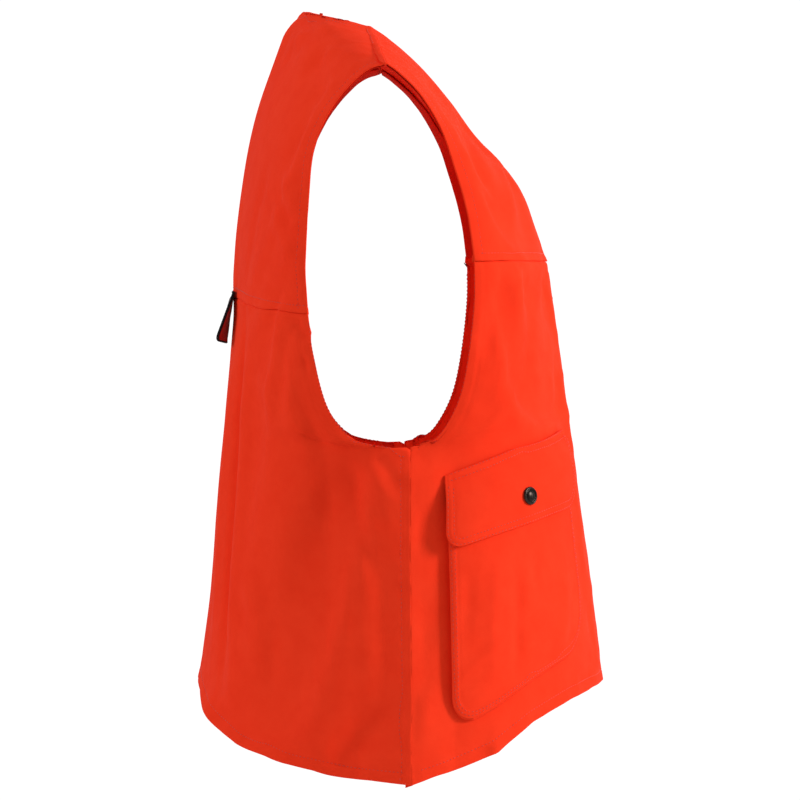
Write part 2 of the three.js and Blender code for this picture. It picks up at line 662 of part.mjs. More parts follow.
function labelSkin(out) {
  return (s, t) => {
    const across = (2 * s - 1) * LABEL.across;
    const p = lifted(BACK, Math.abs(across), mix(LABEL.low, LABEL.top, t), out);
    if (across > 0) p.x = -p.x;
    return p;
  };
}
const labelBack = -(CLOTH / 2 + 0.8);
add("neck_label", between(labelSkin(labelBack - LABEL.depth), labelSkin(labelBack), 8, 3), LABEL_WHITE);

export default vest;
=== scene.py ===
import math
import bpy
import numpy as np
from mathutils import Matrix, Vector
from mathutils.bvhtree import BVHTree


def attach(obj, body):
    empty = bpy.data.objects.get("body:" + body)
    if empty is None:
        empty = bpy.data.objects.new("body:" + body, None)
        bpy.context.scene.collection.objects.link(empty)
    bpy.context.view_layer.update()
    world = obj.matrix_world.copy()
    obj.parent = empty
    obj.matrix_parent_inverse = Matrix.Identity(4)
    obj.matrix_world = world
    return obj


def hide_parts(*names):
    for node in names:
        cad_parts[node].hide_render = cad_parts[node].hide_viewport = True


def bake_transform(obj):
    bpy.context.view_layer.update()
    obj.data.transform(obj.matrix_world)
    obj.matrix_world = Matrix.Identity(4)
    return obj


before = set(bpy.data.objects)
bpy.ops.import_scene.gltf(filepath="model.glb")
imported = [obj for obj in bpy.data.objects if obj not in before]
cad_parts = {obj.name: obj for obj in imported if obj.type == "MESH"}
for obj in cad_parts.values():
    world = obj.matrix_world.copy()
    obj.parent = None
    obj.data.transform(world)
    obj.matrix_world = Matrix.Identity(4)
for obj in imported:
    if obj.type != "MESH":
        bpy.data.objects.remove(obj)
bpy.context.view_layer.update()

# Blaze orange vest. Metres, +Z up, the front faces -Y, the wearer's right is -X.
# The cloth's outline is worked out in millimetres above the side seams' hem, as in the CAD,
# and moved to the frame's origin between the shoulder seams at the end.
SHOULDERS = np.array([0.0, 27.0, 632.0])
CLOTH = 1.5

SIDE_SEAM = [[-216, 0, 0], [-212, 0, 100], [-208, 0, 200], [-205, 1, 289]]
FRONT_EDGE = [[0, -168, 94], [0, -141.7, 288]]
FRONT_EDGE_TOP = [[0, -141.7, 288], [0, -123.5, 422]]
V_START = [[0, -123.5, 422], [-12, -119.5, 448]]
V_NECK = [[-12, -119.5, 448], [-22, -110, 474], [-36, -98, 506], [-47, -81, 530], [-58, -57, 555],
          [-72, -35, 585], [-84, -9, 615], [-92, 17, 638], [-95, 33, 649]]
ARM_FRONT_LOW = [[-205, 1, 289], [-204, -14, 292], [-202, -27, 303], [-197, -41, 330], [-190, -49, 366],
                 [-178, -54, 412], [-172, -54, 448]]
ARM_FRONT_HIGH = [[-172, -54, 448], [-170, -48, 488], [-172, -37, 527], [-178, -25, 562], [-184, -7, 591],
                  [-189, 10, 608], [-192, 21, 616]]
BACK_MIDDLE_LOW = [[0, 182, 95], [0, 172, 160], [0, 165, 248], [0, 160, 300]]
BACK_MIDDLE = [[0, 160, 300], [0, 154, 366], [0, 149, 419]]
BACK_MIDDLE_HIGH = [[0, 149, 419], [0, 149, 466], [0, 144, 510], [0, 137, 553], [0, 126, 597], [0, 109, 641],
                    [0, 91, 665]]
BACK_NECK = [[0, 91, 665], [-36, 87, 664], [-66, 73, 660], [-86, 54, 655], [-95, 33, 649]]
ARM_BACK_LOW = [[-205, 1, 289], [-204.5, 28, 289.6], [-202, 52, 297], [-198, 72, 324], [-192, 84, 370],
                [-188, 88, 403]]
ARM_BACK_HIGH = [[-188, 88, 403], [-186, 90, 442], [-184, 88, 490], [-184, 84, 540], [-186, 72, 571],
                 [-189, 55, 595], [-191, 37, 611], [-192, 21, 616]]
ROUNDNESS = ([0, 1.2, 2, 2.6, 3], [1, 1, 0.8, 0.45, 0])
FRONT = dict(middle=[(0, 1, FRONT_EDGE), (1, 1.8, FRONT_EDGE_TOP), (1.8, 2, V_START), (2, 3, V_NECK)],
             edge=[(0, 1, SIDE_SEAM), (1, 2, ARM_FRONT_LOW), (2, 3, ARM_FRONT_HIGH)],
             square=([0, 1, 2, 3], [2.1, 2.2, 2.1, 2]), out=-1,
             hem=([0, 0.18, 0.43, 0.62, 0.8, 1], [0, -6, -12, -5, -5, -10]))
BACK = dict(middle=[(0, 1, BACK_MIDDLE_LOW), (1, 2, BACK_MIDDLE), (2, 2.75, BACK_MIDDLE_HIGH),
                    (2.75, 3, BACK_NECK)],
            edge=[(0, 1, SIDE_SEAM), (1, 2, ARM_BACK_LOW), (2, 3, ARM_BACK_HIGH)],
            square=([0, 1, 2, 3], [2.6, 2.4, 2.2, 2]), out=1,
            hem=([0, 0.2, 0.46, 0.68, 0.82, 1], [0, 3.5, 5.5, 1, -8, -9]))
POCKET = dict(top_front=(0.335, 0.975), top_side=(0.892, 0.80),
              low_front=(0.33, 0.165), low_side=(0.88, 0.109))
FLAP = dict(top_front=(0.29, 1.10), top_side=(0.8946, 0.905),
            low_front=(0.322, 0.75), low_side=(0.9025, 0.65))
POCKET_STANDS, FLAP_STANDS, POCKET_CORNER, FLAP_CORNER = 10.0, 14.9, 26.0, 16.0


# ---- surface ------------------------------------------------------------
def spline(points, t):
    p = np.array(points, float)
    last = len(p) - 1
    at = np.clip(t, 0, 1) * last
    i = np.minimum(at.astype(int), last - 1)
    f = (at - i)[:, None]
    ext = np.vstack([2 * p[0] - p[1], p, 2 * p[-1] - p[-2]])
    a, b, c, d = ext[i], ext[i + 1], ext[i + 2], ext[i + 3]
    square = (2 * a - 5 * b + 4 * c - d) * f ** 2
    cube = (3 * b - a - 3 * c + d) * f ** 3
    return 0.5 * (2 * b + (c - a) * f + square + cube)


def length_along(line):
    """How far along a line each of its points lies."""
    return np.concatenate([[0], np.cumsum(np.linalg.norm(np.diff(line, axis=0), axis=1))])


def at_lengths(where, run, line):
    return np.stack([np.interp(where, run, line[:, k]) for k in range(3)], 1)


def along(legs, v):
    v = np.atleast_1d(np.asarray(v, float))
    out = np.zeros((len(v), 3))
    for k, (lo, hi, pts) in enumerate(legs):
        use = (v > lo) & (v <= hi) if k else v <= hi
        if use.any():
            out[use] = spline(pts, (v[use] - lo) / (hi - lo))
    return out


def on_body(side, u, v):
    u, v = np.broadcast_arrays(np.asarray(u, float), np.asarray(v, float))
    shape = u.shape
    u, v = u.ravel(), v.ravel()
    levels, back = np.unique(v, return_inverse=True)
    m, e = along(side["middle"], levels)[back], along(side["edge"], levels)[back]
    k = np.interp(v, *ROUNDNESS)
    power = 2 / np.interp(v, *side["square"])
    angle = np.clip(u, 0, 1) * math.pi / 2
    wide, deep = np.sin(angle) ** power, 1 - np.cos(angle) ** power
    fall = deep if side["out"] < 0 else wide ** 1.6
    mixed = np.stack([u + (w - u) * k for w in (wide, deep, fall)], 1)
    p = m + (e - m) * mixed
    p[:, 2] += np.interp(np.abs(p[:, 1] / m[:, 1]), *side["hem"]) * np.clip(1 - v / 0.4, 0, 1) ** 2
    return p.reshape(shape + (3,))


def normal_on(side, u, v):
    h = 0.006
    u, v = np.broadcast_arrays(np.asarray(u, float), np.asarray(v, float))
    far = np.where((v > 0.97) & (v < 1.4), 0.9, 0.985)
    a, b = np.clip(u, 0.02, far), np.clip(v, h, 3 - h)
    s = on_body(side, a + h, b) - on_body(side, a - h, b)
    t = on_body(side, a, b + h) - on_body(side, a, b - h)
    n = np.cross(s, t) * side["out"]
    n[..., 0] *= np.clip(u / 0.02, 0, 1)
    return n / np.linalg.norm(n, axis=-1, keepdims=True)


# ---- meshes -------------------------------------------------------------
def grid_faces(rows, cols, start=0, flip=False):
    i, j = np.meshgrid(np.arange(rows - 1), np.arange(cols - 1), indexing="ij")
    a = (start + i * cols + j).ravel()
    q = np.stack([a, a + 1, a + cols + 1, a + cols], 1)
    return q[:, ::-1] if flip else q


def weld(points, faces, extra):
    key = np.round(points, 2)
    _, first, back = np.unique(key, axis=0, return_index=True, return_inverse=True)
    back = back.ravel()
    faces = back[faces]
    ok = np.array([len(set(f)) >= 3 for f in faces])
    return points[first], faces[ok], [x[first] for x in extra]


def face_normals(p, f):
    return np.cross(p[f[:, 2]] - p[f[:, 0]], p[f[:, 3]] - p[f[:, 1]])


def vertex_normals(p, f):
    n = np.zeros_like(p)
    fn = face_normals(p, f)
    for k in range(4):
        np.add.at(n, f[:, k], fn)
    return n / np.maximum(np.linalg.norm(n, axis=1, keepdims=True), 1e-9)


def edges_of(f):
    e = np.vstack([f[:, [0, 1]], f[:, [1, 2]], f[:, [2, 3]], f[:, [3, 0]]])
    return e[e[:, 0] != e[:, 1]]


def smoothed(p, f, rounds, pinned, values=None):
    x = (p if values is None else values).copy()
    e = np.unique(np.sort(edges_of(f), 1), axis=0)
    deg = np.bincount(e.ravel(), minlength=len(p)).astype(float)[:, None]
    for _ in range(rounds):
        s = np.zeros_like(x)
        np.add.at(s, e[:, 0], x[e[:, 1]])
        np.add.at(s, e[:, 1], x[e[:, 0]])
        new = s / np.maximum(deg, 1)
        x = np.where(pinned[:, None], x, 0.5 * x + 0.5 * new)
    return x


def boundary(f):
    e = edges_of(f)
    s = np.sort(e, 1)
    _, inv, cnt = np.unique(s, axis=0, return_inverse=True, return_counts=True)
    return e[cnt[inv.ravel()] == 1]


def linked(name, me):
    """A smooth-shaded object of a mesh, in the scene."""
    me.polygons.foreach_set("use_smooth", [True] * len(me.polygons))
    me.update()
    ob = bpy.data.objects.new(name, me)
    bpy.context.scene.collection.objects.link(ob)
    return ob


def to_object(name, points, faces, uv=None):
    """points in garment millimetres; faces as rows of indices"""
    me = bpy.data.meshes.new(name)
    co = (np.asarray(points) - SHOULDERS) * 0.001
    lists = [[int(a) for k, a in enumerate(f) if a != f[k - 1]] for f in faces]
    me.from_pydata([tuple(map(float, c)) for c in co], [], [f for f in lists if len(f) > 2])
    me.validate()
    if uv is not None:
        layer = me.uv_layers.new(name="cloth")
        idx = np.zeros(len(me.loops), int)
        me.loops.foreach_get("vertex_index", idx)
        layer.data.foreach_set("uv", (np.asarray(uv)[idx] * 0.001).astype(float).ravel())
    return linked(name, me)


def shell(name, p, f, uv, thick=CLOTH, normals=None):
    """A closed cloth body: the skin given is its outer face."""
    n = vertex_normals(p, f) if normals is None else normals
    count = len(p)
    rim = boundary(f)
    edge = np.zeros(count, bool)
    edge[rim.ravel()] = True
    outer = p - n * np.where(edge, 0.25 * thick, 0)[:, None]
    inner = p - n * np.where(edge, 0.75 * thick, thick)[:, None]
    wall = np.stack([rim[:, 1], rim[:, 0], rim[:, 0] + count, rim[:, 1] + count], 1)
    faces = np.vstack([f, f[:, ::-1] + count, wall])
    return to_object(name, np.vstack([outer, inner]), faces, np.vstack([uv, uv]))


# ---- cloth edges: distance to a seam line -------------------------------
def distance_to(points, line):
    """Distance from each point to a polyline, and how far along it that place is."""
    line = np.asarray(line)
    seg = line[1:] - line[:-1]
    length = np.linalg.norm(seg, axis=1)
    start = np.concatenate([[0], np.cumsum(length)[:-1]])
    best = np.full(len(points), 1e9)
    at = np.zeros(len(points))
    for k in range(len(seg)):
        if length[k] < 1e-6:
            continue
        w = points - line[k]
        t = np.clip(w @ seg[k] / length[k] ** 2, 0, 1)
        d = np.linalg.norm(w - t[:, None] * seg[k], axis=1)
        near = d < best
        best[near] = d[near]
        at[near] = start[k] + t[near] * length[k]
    return best, at


def waves(s, pitch, seed):
    """Smooth uneven ripple along a line, from -1 to 1."""
    r = np.random.default_rng(seed)
    n = int(max(np.max(s), 1) / pitch) + 4
    knots = r.uniform(-1, 1, n)
    x = np.clip(s / pitch, 0, n - 2)
    i = x.astype(int)
    t = x - i
    t = t * t * (3 - 2 * t)
    return knots[i] * (1 - t) + knots[i + 1] * t


def bump(x, width):
    return np.exp(-(x / width) ** 2)


# Each seam lifts a band of doubled cloth, sinks along its stitching and puckers beside it.
def seam_relief(points, seams):
    lift = np.zeros(len(points))
    for k, s in enumerate(seams):
        d, at = distance_to(points, s["line"])
        band = s.get("band", 0)
        if band:
            lift += s.get("rise", 0.7) / (1 + np.exp((d - band) / 0.9))
        for row in s.get("rows", ()):
            lift -= s.get("sink", 0.6) * bump(d - row, 1.5)
        if s.get("pucker"):
            reach = s.get("reach", 9)
            centre = s["rows"][0] if s.get("rows") else 0
            ripple = waves(at, s.get("pitch", 9), 11 * k + s.get("seed", 1))
            lift += s["pucker"] * ripple * bump(np.maximum(np.abs(d - centre) - 2, 0), reach)
        if s.get("ridge"):
            fade = np.clip((290 - points[:, 2]) / 26, 0, 1)
            lift += s["ridge"] * fade * np.clip(1 - d / s["tent"], 0, 1) ** 1.15
        if s.get("valley"):
            lift -= s["valley"] * bump(d, 1.8)
    return lift


LAID_REACH = 22


def laid_on(points, line):
    """A rough line moved onto the cloth that it belongs to, or left alone if far off it."""
    t = np.linspace(0, 1, 48)
    dense = np.stack([np.interp(t, np.linspace(0, 1, len(line)), line[:, k]) for k in range(3)], 1)
    near = points[[np.argmin(((points - q) ** 2).sum(1)) for q in dense]]
    if np.linalg.norm(near - dense, axis=1).mean() > LAID_REACH:
        return dense
    padded = np.vstack([near[:1]] * 4 + [near] + [near[-1:]] * 4)
    return np.stack([np.convolve(padded[:, k], np.ones(9) / 9, "valid") for k in range(3)], 1)


def fold_relief(points, folds):
    lift = np.zeros(len(points))
    for f in folds:
        line = laid_on(points, np.array(f["line"], float))
        d, at = distance_to(points, line)
        total = np.linalg.norm(np.diff(line, axis=0), axis=1).sum()
        ends = np.clip(np.minimum(at, total - at) / (0.3 * total), 0, 1)
        ends = 0.15 + 0.85 * ends * ends * (3 - 2 * ends)
        lift += f["height"] * ends * bump(d, f["width"])
    return lift


# ---- cloth simulation of the whole garment ------------------------------
SIM_U, SIM_V = 27, 86
SIM_FRAMES = 33
SIM_REACH, SIM_GAIN = 7, 1.3   # the furthest a point moves (mm), and how much its fine relief is raised


def sim_half(side):
    u = np.linspace(0, 1, SIM_U)
    v = np.linspace(0, 3, SIM_V)
    return on_body(side, u[None, :], v[:, None])


def pin_weight(side):
    u = np.linspace(0, 1, SIM_U)[None, :]
    v = np.linspace(0, 3, SIM_V)[:, None]
    p = sim_half(side)
    arm = along(side["edge"], np.linspace(1, 3, 120))
    d_arm = distance_to(p.reshape(-1, 3), arm)[0].reshape(SIM_V, SIM_U)
    w = 0.04 + 0.9 * bump(d_arm, 22)
    w = w + 0.3 * bump(v * 289, 14) + 0.35 * bump((v - 2) * 150, 10) + 0.9 * bump((3 - v) * 150, 30)
    w = w + 0.5 * bump((1 - u) * 250, 8) * (v <= 1)
    if side["out"] < 0:
        w = w + 0.9 * bump(u * 200, 26)
        bag = (u > 0.2) & (u < 0.92) & (v > 0.05) & (v < 1.15)
        w = w + 0.5 * bag
    else:
        w = w + 0.7 * bump((v - 2.85) * 150, 34) * (u < 0.5)
    return np.clip(w, 0, 1)


V_LINE = along(FRONT["middle"], np.linspace(1.8, 3, 120))
NECK_LINE = along(BACK["middle"], np.linspace(2.75, 3, 60))


def simulate():
    halves = [(FRONT, 1), (FRONT, -1), (BACK, 1), (BACK, -1)]
    rest = [sim_half(s) * np.array([m, 1, 1]) for s, m in halves]
    weights = [pin_weight(s) for s, _ in halves]
    pts = np.vstack([r.reshape(-1, 3) for r in rest])
    wts = np.concatenate([w.ravel() for w in weights])
    faces = []
    for k, (s, m) in enumerate(halves):
        faces.append(grid_faces(SIM_V, SIM_U, k * SIM_U * SIM_V, flip=(m * s["out"] < 0)))
    faces = np.vstack(faces)
    key = np.round(pts, 1)
    _, first, back = np.unique(key, axis=0, return_index=True, return_inverse=True)
    back = back.ravel()
    rnd = np.random.default_rng(3).normal(0, 0.25, (len(first), 3))
    ob = to_object("sim", pts[first] + rnd, back[faces])
    group = ob.vertex_groups.new(name="pin")
    for i, w in enumerate(wts[first]):
        group.add([i], float(w), "REPLACE")
    cloth = ob.modifiers.new("cloth", "CLOTH")
    st = cloth.settings
    st.quality = 6
    st.mass = 0.35
    st.tension_stiffness = st.compression_stiffness = 25
    st.shear_stiffness = 12
    st.bending_stiffness = 2.2
    st.vertex_group_mass = "pin"
    st.pin_stiffness = 1.2
    st.shrink_min = -0.019
    cloth.collision_settings.use_collision = False
    cloth.collision_settings.use_self_collision = False
    cloth.point_cache.frame_start = 1
    cloth.point_cache.frame_end = 40
    scene = bpy.context.scene
    scene.frame_start, scene.frame_end = 1, 40
    for i in range(1, SIM_FRAMES + 1):
        scene.frame_set(i)
    dg = bpy.context.evaluated_depsgraph_get()
    ev = ob.evaluated_get(dg)
    co = np.zeros(len(first) * 3)
    ev.data.vertices.foreach_get("co", co)
    moved = co.reshape(-1, 3) * 1000 + SHOULDERS - pts[first]
    scene.frame_set(1)
    bpy.data.objects.remove(ob, do_unlink=True)
    far = np.linalg.norm(moved, axis=1, keepdims=True)
    moved *= np.minimum(1, SIM_REACH / np.maximum(far, 1e-6))
    none = np.zeros(len(first), bool)
    moved = smoothed(pts[first], back[faces], 2, none, moved)
    moved = SIM_GAIN * (moved - smoothed(pts[first], back[faces], 45, none, moved))
    full = moved[back]
    size = SIM_U * SIM_V
    fields = []
    for k, (side, _) in enumerate(halves):
        free = along(side["edge"], np.linspace(1, 3, 120))
        rest_points = sim_half(side).reshape(-1, 3)
        calm = np.clip(distance_to(rest_points, free)[0] / 26 - 0.1, 0, 1)
        neck = V_LINE if side["out"] < 0 else NECK_LINE
        calm = calm * np.clip(distance_to(rest_points, neck)[0] / 24 - 0.1, 0, 1)
        calm = calm * calm * (3 - 2 * calm)
        fields.append((full[k * size:(k + 1) * size] * calm[:, None]).reshape(SIM_V, SIM_U, 3))
    return fields


def sample(field, u, v):
    """Cubic look-up of a field on the simulation's grid."""
    rows, cols = field.shape[:2]

    def weights(x, n):
        x = np.clip(x, 0, n - 1 - 1e-6)
        i = x.astype(int)
        f = x - i
        w = np.stack([-0.5 * f + f ** 2 - 0.5 * f ** 3, 1 - 2.5 * f ** 2 + 1.5 * f ** 3,
                      0.5 * f + 2 * f ** 2 - 1.5 * f ** 3, -0.5 * f ** 2 + 0.5 * f ** 3], 1)
        return np.clip(i[:, None] + np.arange(-1, 3), 0, n - 1), w

    ci, cw = weights(u * (cols - 1), cols)
    ri, rw = weights(v / 3 * (rows - 1), rows)
    out = np.zeros((len(u), 3))
    for a in range(4):
        for b in range(4):
            out += field[ri[:, a], ci[:, b]] * (rw[:, a] * cw[:, b])[:, None]
    return out


# ---- seam lines ---------------------------------------------------------
def line_along(legs, lo, hi, n=200):
    return along(legs, np.linspace(lo, hi, n))


def line_across(side, v, n=160):
    return on_body(side, np.linspace(0, 1, n), v)


LINES = dict(
    side=line_along(FRONT["edge"], 0, 1),
    arm_front=line_along(FRONT["edge"], 1, 3), arm_back=line_along(BACK["edge"], 1, 3),
    hem_front=line_across(FRONT, 0.0), hem_back=line_across(BACK, 0.0),
    yoke_front=line_across(FRONT, 2.0), yoke_back=line_across(BACK, 2.0),
    shoulder=line_across(FRONT, 3.0), v_neck=line_along(FRONT["middle"], 1.8, 3),
    back_neck=line_along(BACK["middle"], 2.75, 3), zip=line_along(FRONT["middle"], 0, 1.8),
)


def seam(name, flip=1, **facts):
    return dict(line=LINES[name] * np.array([flip, 1, 1]), **facts)


# ---- panels -------------------------------------------------------------
PANEL_STEP = 3.4
EDGE_STEPS = [0, 0.6, 1.3, 2.2, 3.4, 5, 6.6, 8, 9.2, 10.4, 12, 14]


def spacing(length, step, low=True):
    """Places from 0 to length, step apart and closer at the edges."""
    lo = EDGE_STEPS if low else [0]
    hi = [length - d for d in EDGE_STEPS][::-1]
    gap = hi[0] - lo[-1]
    n = max(int(round(gap / step)), 2)
    return np.array(lo + list(np.linspace(lo[-1], hi[0], n + 1))[1:-1] + hi)


def half_grid(side, v_lo, v_hi, start, middle_edge):
    """Rows of points over the right half, spaced by true length, with their (across, height)."""
    fine = np.linspace(v_lo, v_hi, 600)
    mid = on_body(side, 0.62, fine)
    run = length_along(mid)
    heights = np.interp(spacing(run[-1], PANEL_STEP), run, fine)
    heights[0], heights[-1] = v_lo, v_hi
    us = np.linspace(0, 1, 500)
    all_rows = on_body(side, us[None, :], heights[:, None])
    lengths = [length_along(row) for row in all_rows]
    starts = [0.0 if start is None else float(start(h)) for h in heights]
    longest = max(s[-1] - a for s, a in zip(lengths, starts))
    base = spacing(longest, PANEL_STEP, low=middle_edge)
    lo_n = len(EDGE_STEPS) if middle_edge else 1
    hi_n = len(EDGE_STEPS)
    U = np.zeros((len(heights), len(base)))
    for r, (s, a) in enumerate(zip(lengths, starts)):
        total = s[-1] - a
        lo, hi = base[:lo_n], total - (longest - base[-hi_n:])
        inner = lo[-1] + ((hi[0] - lo[-1]) * (base[lo_n:-hi_n] - base[lo_n - 1])
                          / (base[-hi_n] - base[lo_n - 1]))
        U[r] = np.interp(a + np.concatenate([lo, inner, hi]), s, us)
    V = np.repeat(heights[:, None], len(base), 1)
    return on_body(side, U, V), U, V


def tucked(P, U, V, where):
    """Carries the cloth on past a seam, under its neighbour: two more rows or columns, and their depth."""
    drop = np.zeros(U.shape)
    pin = np.zeros(U.shape, bool)
    if "top" in where:
        way = P[-1] - P[-3]
        way /= np.linalg.norm(way, axis=1, keepdims=True)
        P = np.vstack([P, [P[-1] + way * 0.9, P[-1] + way * 6]])
        U, V = np.vstack([U, U[-1:], U[-1:]]), np.vstack([V, V[-1:], V[-1:]])
        drop = np.vstack([drop, drop[-1:] * 0 + 1.5, drop[-1:] * 0 + 2.1])
        pin = np.vstack([pin, pin[-1:], pin[-1:]])
        pin[-3:] = True
    if "side" in where:
        sewn = (V[:, -1] <= 0.992)[:, None]
        way = P[:, -1] - P[:, -3]
        way /= np.maximum(np.linalg.norm(way, axis=1, keepdims=True), 1e-6)
        reach = np.clip((0.992 - V[:, -1]) / 0.05, 0, 1)[:, None]
        first, second = 0.1 + 0.8 * reach, 0.2 + 5.8 * reach
        P = np.concatenate([P, (P[:, -1] + way * first)[:, None], (P[:, -1] + way * second)[:, None]], 1)
        U, V = np.hstack([U, U[:, -1:], U[:, -1:]]), np.hstack([V, V[:, -1:], V[:, -1:]])
        drop = np.hstack([drop, np.where(sewn, 1.5, 0.2), np.where(sewn, 2.1, 0.5)])
        pin = np.hstack([pin, pin[:, -1:], pin[:, -1:]])
        pin[:, -3:] = True
    return P, U, V, drop, pin


def make_panel(name, side, v_lo, v_hi, halves, seams, folds, start=None, middle_edge=True, damp=None,
               tuck=()):
    """Builds one cloth panel over the right half, the left half, or both joined at the middle."""
    P, U, V = half_grid(side, v_lo, v_hi, start, middle_edge)
    P, U, V, drop, pin = tucked(P, U, V, tuck)
    rows, cols = U.shape
    pts, faces, uvs, hv = [], [], [], []
    steps = np.linalg.norm(np.diff(P, axis=1), axis=2)
    row_len = np.concatenate([np.zeros((rows, 1)), np.cumsum(steps, 1)], 1)
    col_len = length_along(P[:, cols // 2])
    for k, m in enumerate(halves):
        field = FIELDS[(0 if side is FRONT else 2) + (0 if m > 0 else 1)]
        q = P.reshape(-1, 3) * np.array([m, 1, 1])
        move = sample(field, U.ravel(), V.ravel())
        if damp is not None:
            move *= damp(U.ravel(), V.ravel())[:, None]
        pts.append(q)
        hv.append(move)
        faces.append(grid_faces(rows, cols, k * rows * cols, flip=(m * side["out"] < 0)))
        uvs.append(np.stack([row_len.ravel() * (-m), np.repeat(col_len, cols) + 400 * v_lo], 1))
    times = len(halves)
    p, f, (move, uv, drop, pin) = weld(np.vstack(pts), np.vstack(faces), [
        np.vstack(hv), np.vstack(uvs), np.tile(drop.ravel(), times), np.tile(pin.ravel(), times)])
    rim = pin.copy()
    rim[boundary(f).ravel()] = True
    p = smoothed(p, f, 12, rim)
    n = vertex_normals(p, f)
    lift = seam_relief(p, seams) + fold_relief(p, folds) - drop
    uneven = [waves(p @ np.array(way) + 900, pitch, seed)
              for way, pitch, seed in (([0.7, 0.5, 0.51], 17, 5), ([-0.4, 0.3, 0.86], 23, 6))]
    lift += 0.2 * uneven[0] * uneven[1]
    q = p + move + n * (lift + CLOTH / 2)[:, None]
    ob = shell(name, q, f, uv)
    return ob, q, f


def tree_of(q, f):
    return BVHTree.FromPolygons([Vector(c) for c in q], [list(dict.fromkeys(map(int, x))) for x in f])


# ---- stitches -----------------------------------------------------------
def stitch_bodies(path, normal, length=2.6, gap=0.9, radius=0.33):
    """Closed little thread bodies along a path (mm)."""
    run = length_along(path)
    pts, faces, at = [], [], 0
    count = int(run[-1] / (length + gap))
    ring = np.linspace(0, 2 * math.pi, 6, endpoint=False)
    for i in range(count):
        s0 = i * (length + gap) + gap / 2
        ss = s0 + length * np.array([0, 0.18, 0.5, 0.82, 1])
        c = at_lengths(ss, run, path)
        n = at_lengths(ss, run, normal)
        n /= np.linalg.norm(n, axis=1, keepdims=True)
        t = c[-1] - c[0]
        t /= max(np.linalg.norm(t), 1e-9)
        b = np.cross(t, n[2])
        b /= max(np.linalg.norm(b), 1e-9)
        dip = np.array([-0.5, -0.05, 0.16, -0.05, -0.5])
        rad = radius * np.array([0.35, 0.9, 1, 0.9, 0.35])
        for j in range(5):
            for a in ring:
                pts.append(c[j] + n[j] * (dip[j] + 0.75 * rad[j] * math.sin(a)) + b * rad[j] * math.cos(a))
        for j in range(4):
            for k in range(6):
                k2 = (k + 1) % 6
                faces.append([at + j * 6 + k, at + (j + 1) * 6 + k, at + (j + 1) * 6 + k2, at + j * 6 + k2])
        faces.append([at + k for k in range(6)])
        faces.append([at + 24 + k for k in range(6)][::-1])
        at += 30
    return pts, faces


def stitch_lines(name, tree, lines):
    """lines: (edge line, direction towards the cloth as a point, offsets)"""
    pts, faces = [], []
    for line, towards, rows, trim in lines:
        run = length_along(line)
        keep = np.arange(trim, run[-1] - trim, 2.0)
        edge = at_lengths(keep, run, line)
        tan = np.gradient(edge, axis=0)
        tan /= np.maximum(np.linalg.norm(tan, axis=1, keepdims=True), 1e-9)
        for row in rows:
            path, normal, last = [], [], None
            for e, t in zip(edge, tan):
                hit = tree.find_nearest(Vector(e))
                if hit[0] is None:
                    continue
                n = np.array(hit[1])
                inward = np.cross(n, t)
                inward /= max(np.linalg.norm(inward), 1e-9)
                if inward @ (towards - e if last is None else last) < 0:
                    inward = -inward
                last = inward
                hit = tree.find_nearest(Vector(e + inward * row))
                path.append(np.array(hit[0]))
                normal.append(np.array(hit[1]))
            if len(path) < 4:
                continue
            path, normal = np.array(path), np.array(normal)
            kernel = np.ones(5) / 5
            for k in range(3):
                path[2:-2, k] = np.convolve(path[:, k], kernel, "valid")
                normal[2:-2, k] = np.convolve(normal[:, k], kernel, "valid")
            a, b = stitch_bodies(path, normal)
            b = [[i + len(pts) for i in face] for face in b]
            pts += a
            faces += b
    return to_object_poly(name, pts, faces)


def to_object_poly(name, pts, faces):
    """points in garment millimetres; faces of any number of corners"""
    me = bpy.data.meshes.new(name)
    co = (np.asarray(pts, float) - SHOULDERS) * 0.001
    me.from_pydata([tuple(map(float, c)) for c in co], [], faces)
    return linked(name, me)


# ---- the cloth pieces ---------------------------------------------------
FIELDS = simulate()
MADE = {}


def beside_zip(v):
    """Where the front panel starts, in mm from the middle, to leave room for the teeth."""
    return 5.9 * np.clip((2 - v) / 0.25, 0, 1)


def front_damp(u, v):
    near_zip = np.clip((u - 0.02) / 0.14, 0, 1)
    inside = [(u - 0.18) / 0.06, (0.97 - u) / 0.05, (v - 0.02) / 0.08, (1.2 - v) / 0.1]
    over = np.clip(np.minimum.reduce(inside), 0, 1)
    return near_zip * (1 - 0.7 * over)


def fold(line, height, width, left=1.0):
    """A ridge (or a valley, below zero) on the right half, with a weaker or stronger twin on the left."""
    out = [dict(line=np.array(line, float), height=height, width=width)]
    if left:
        out.append(dict(line=np.array(line, float) * np.array([-1, 1, 1]) + np.array([0, 0, 11 * left]),
                        height=height * left, width=width * 1.1))
    return out


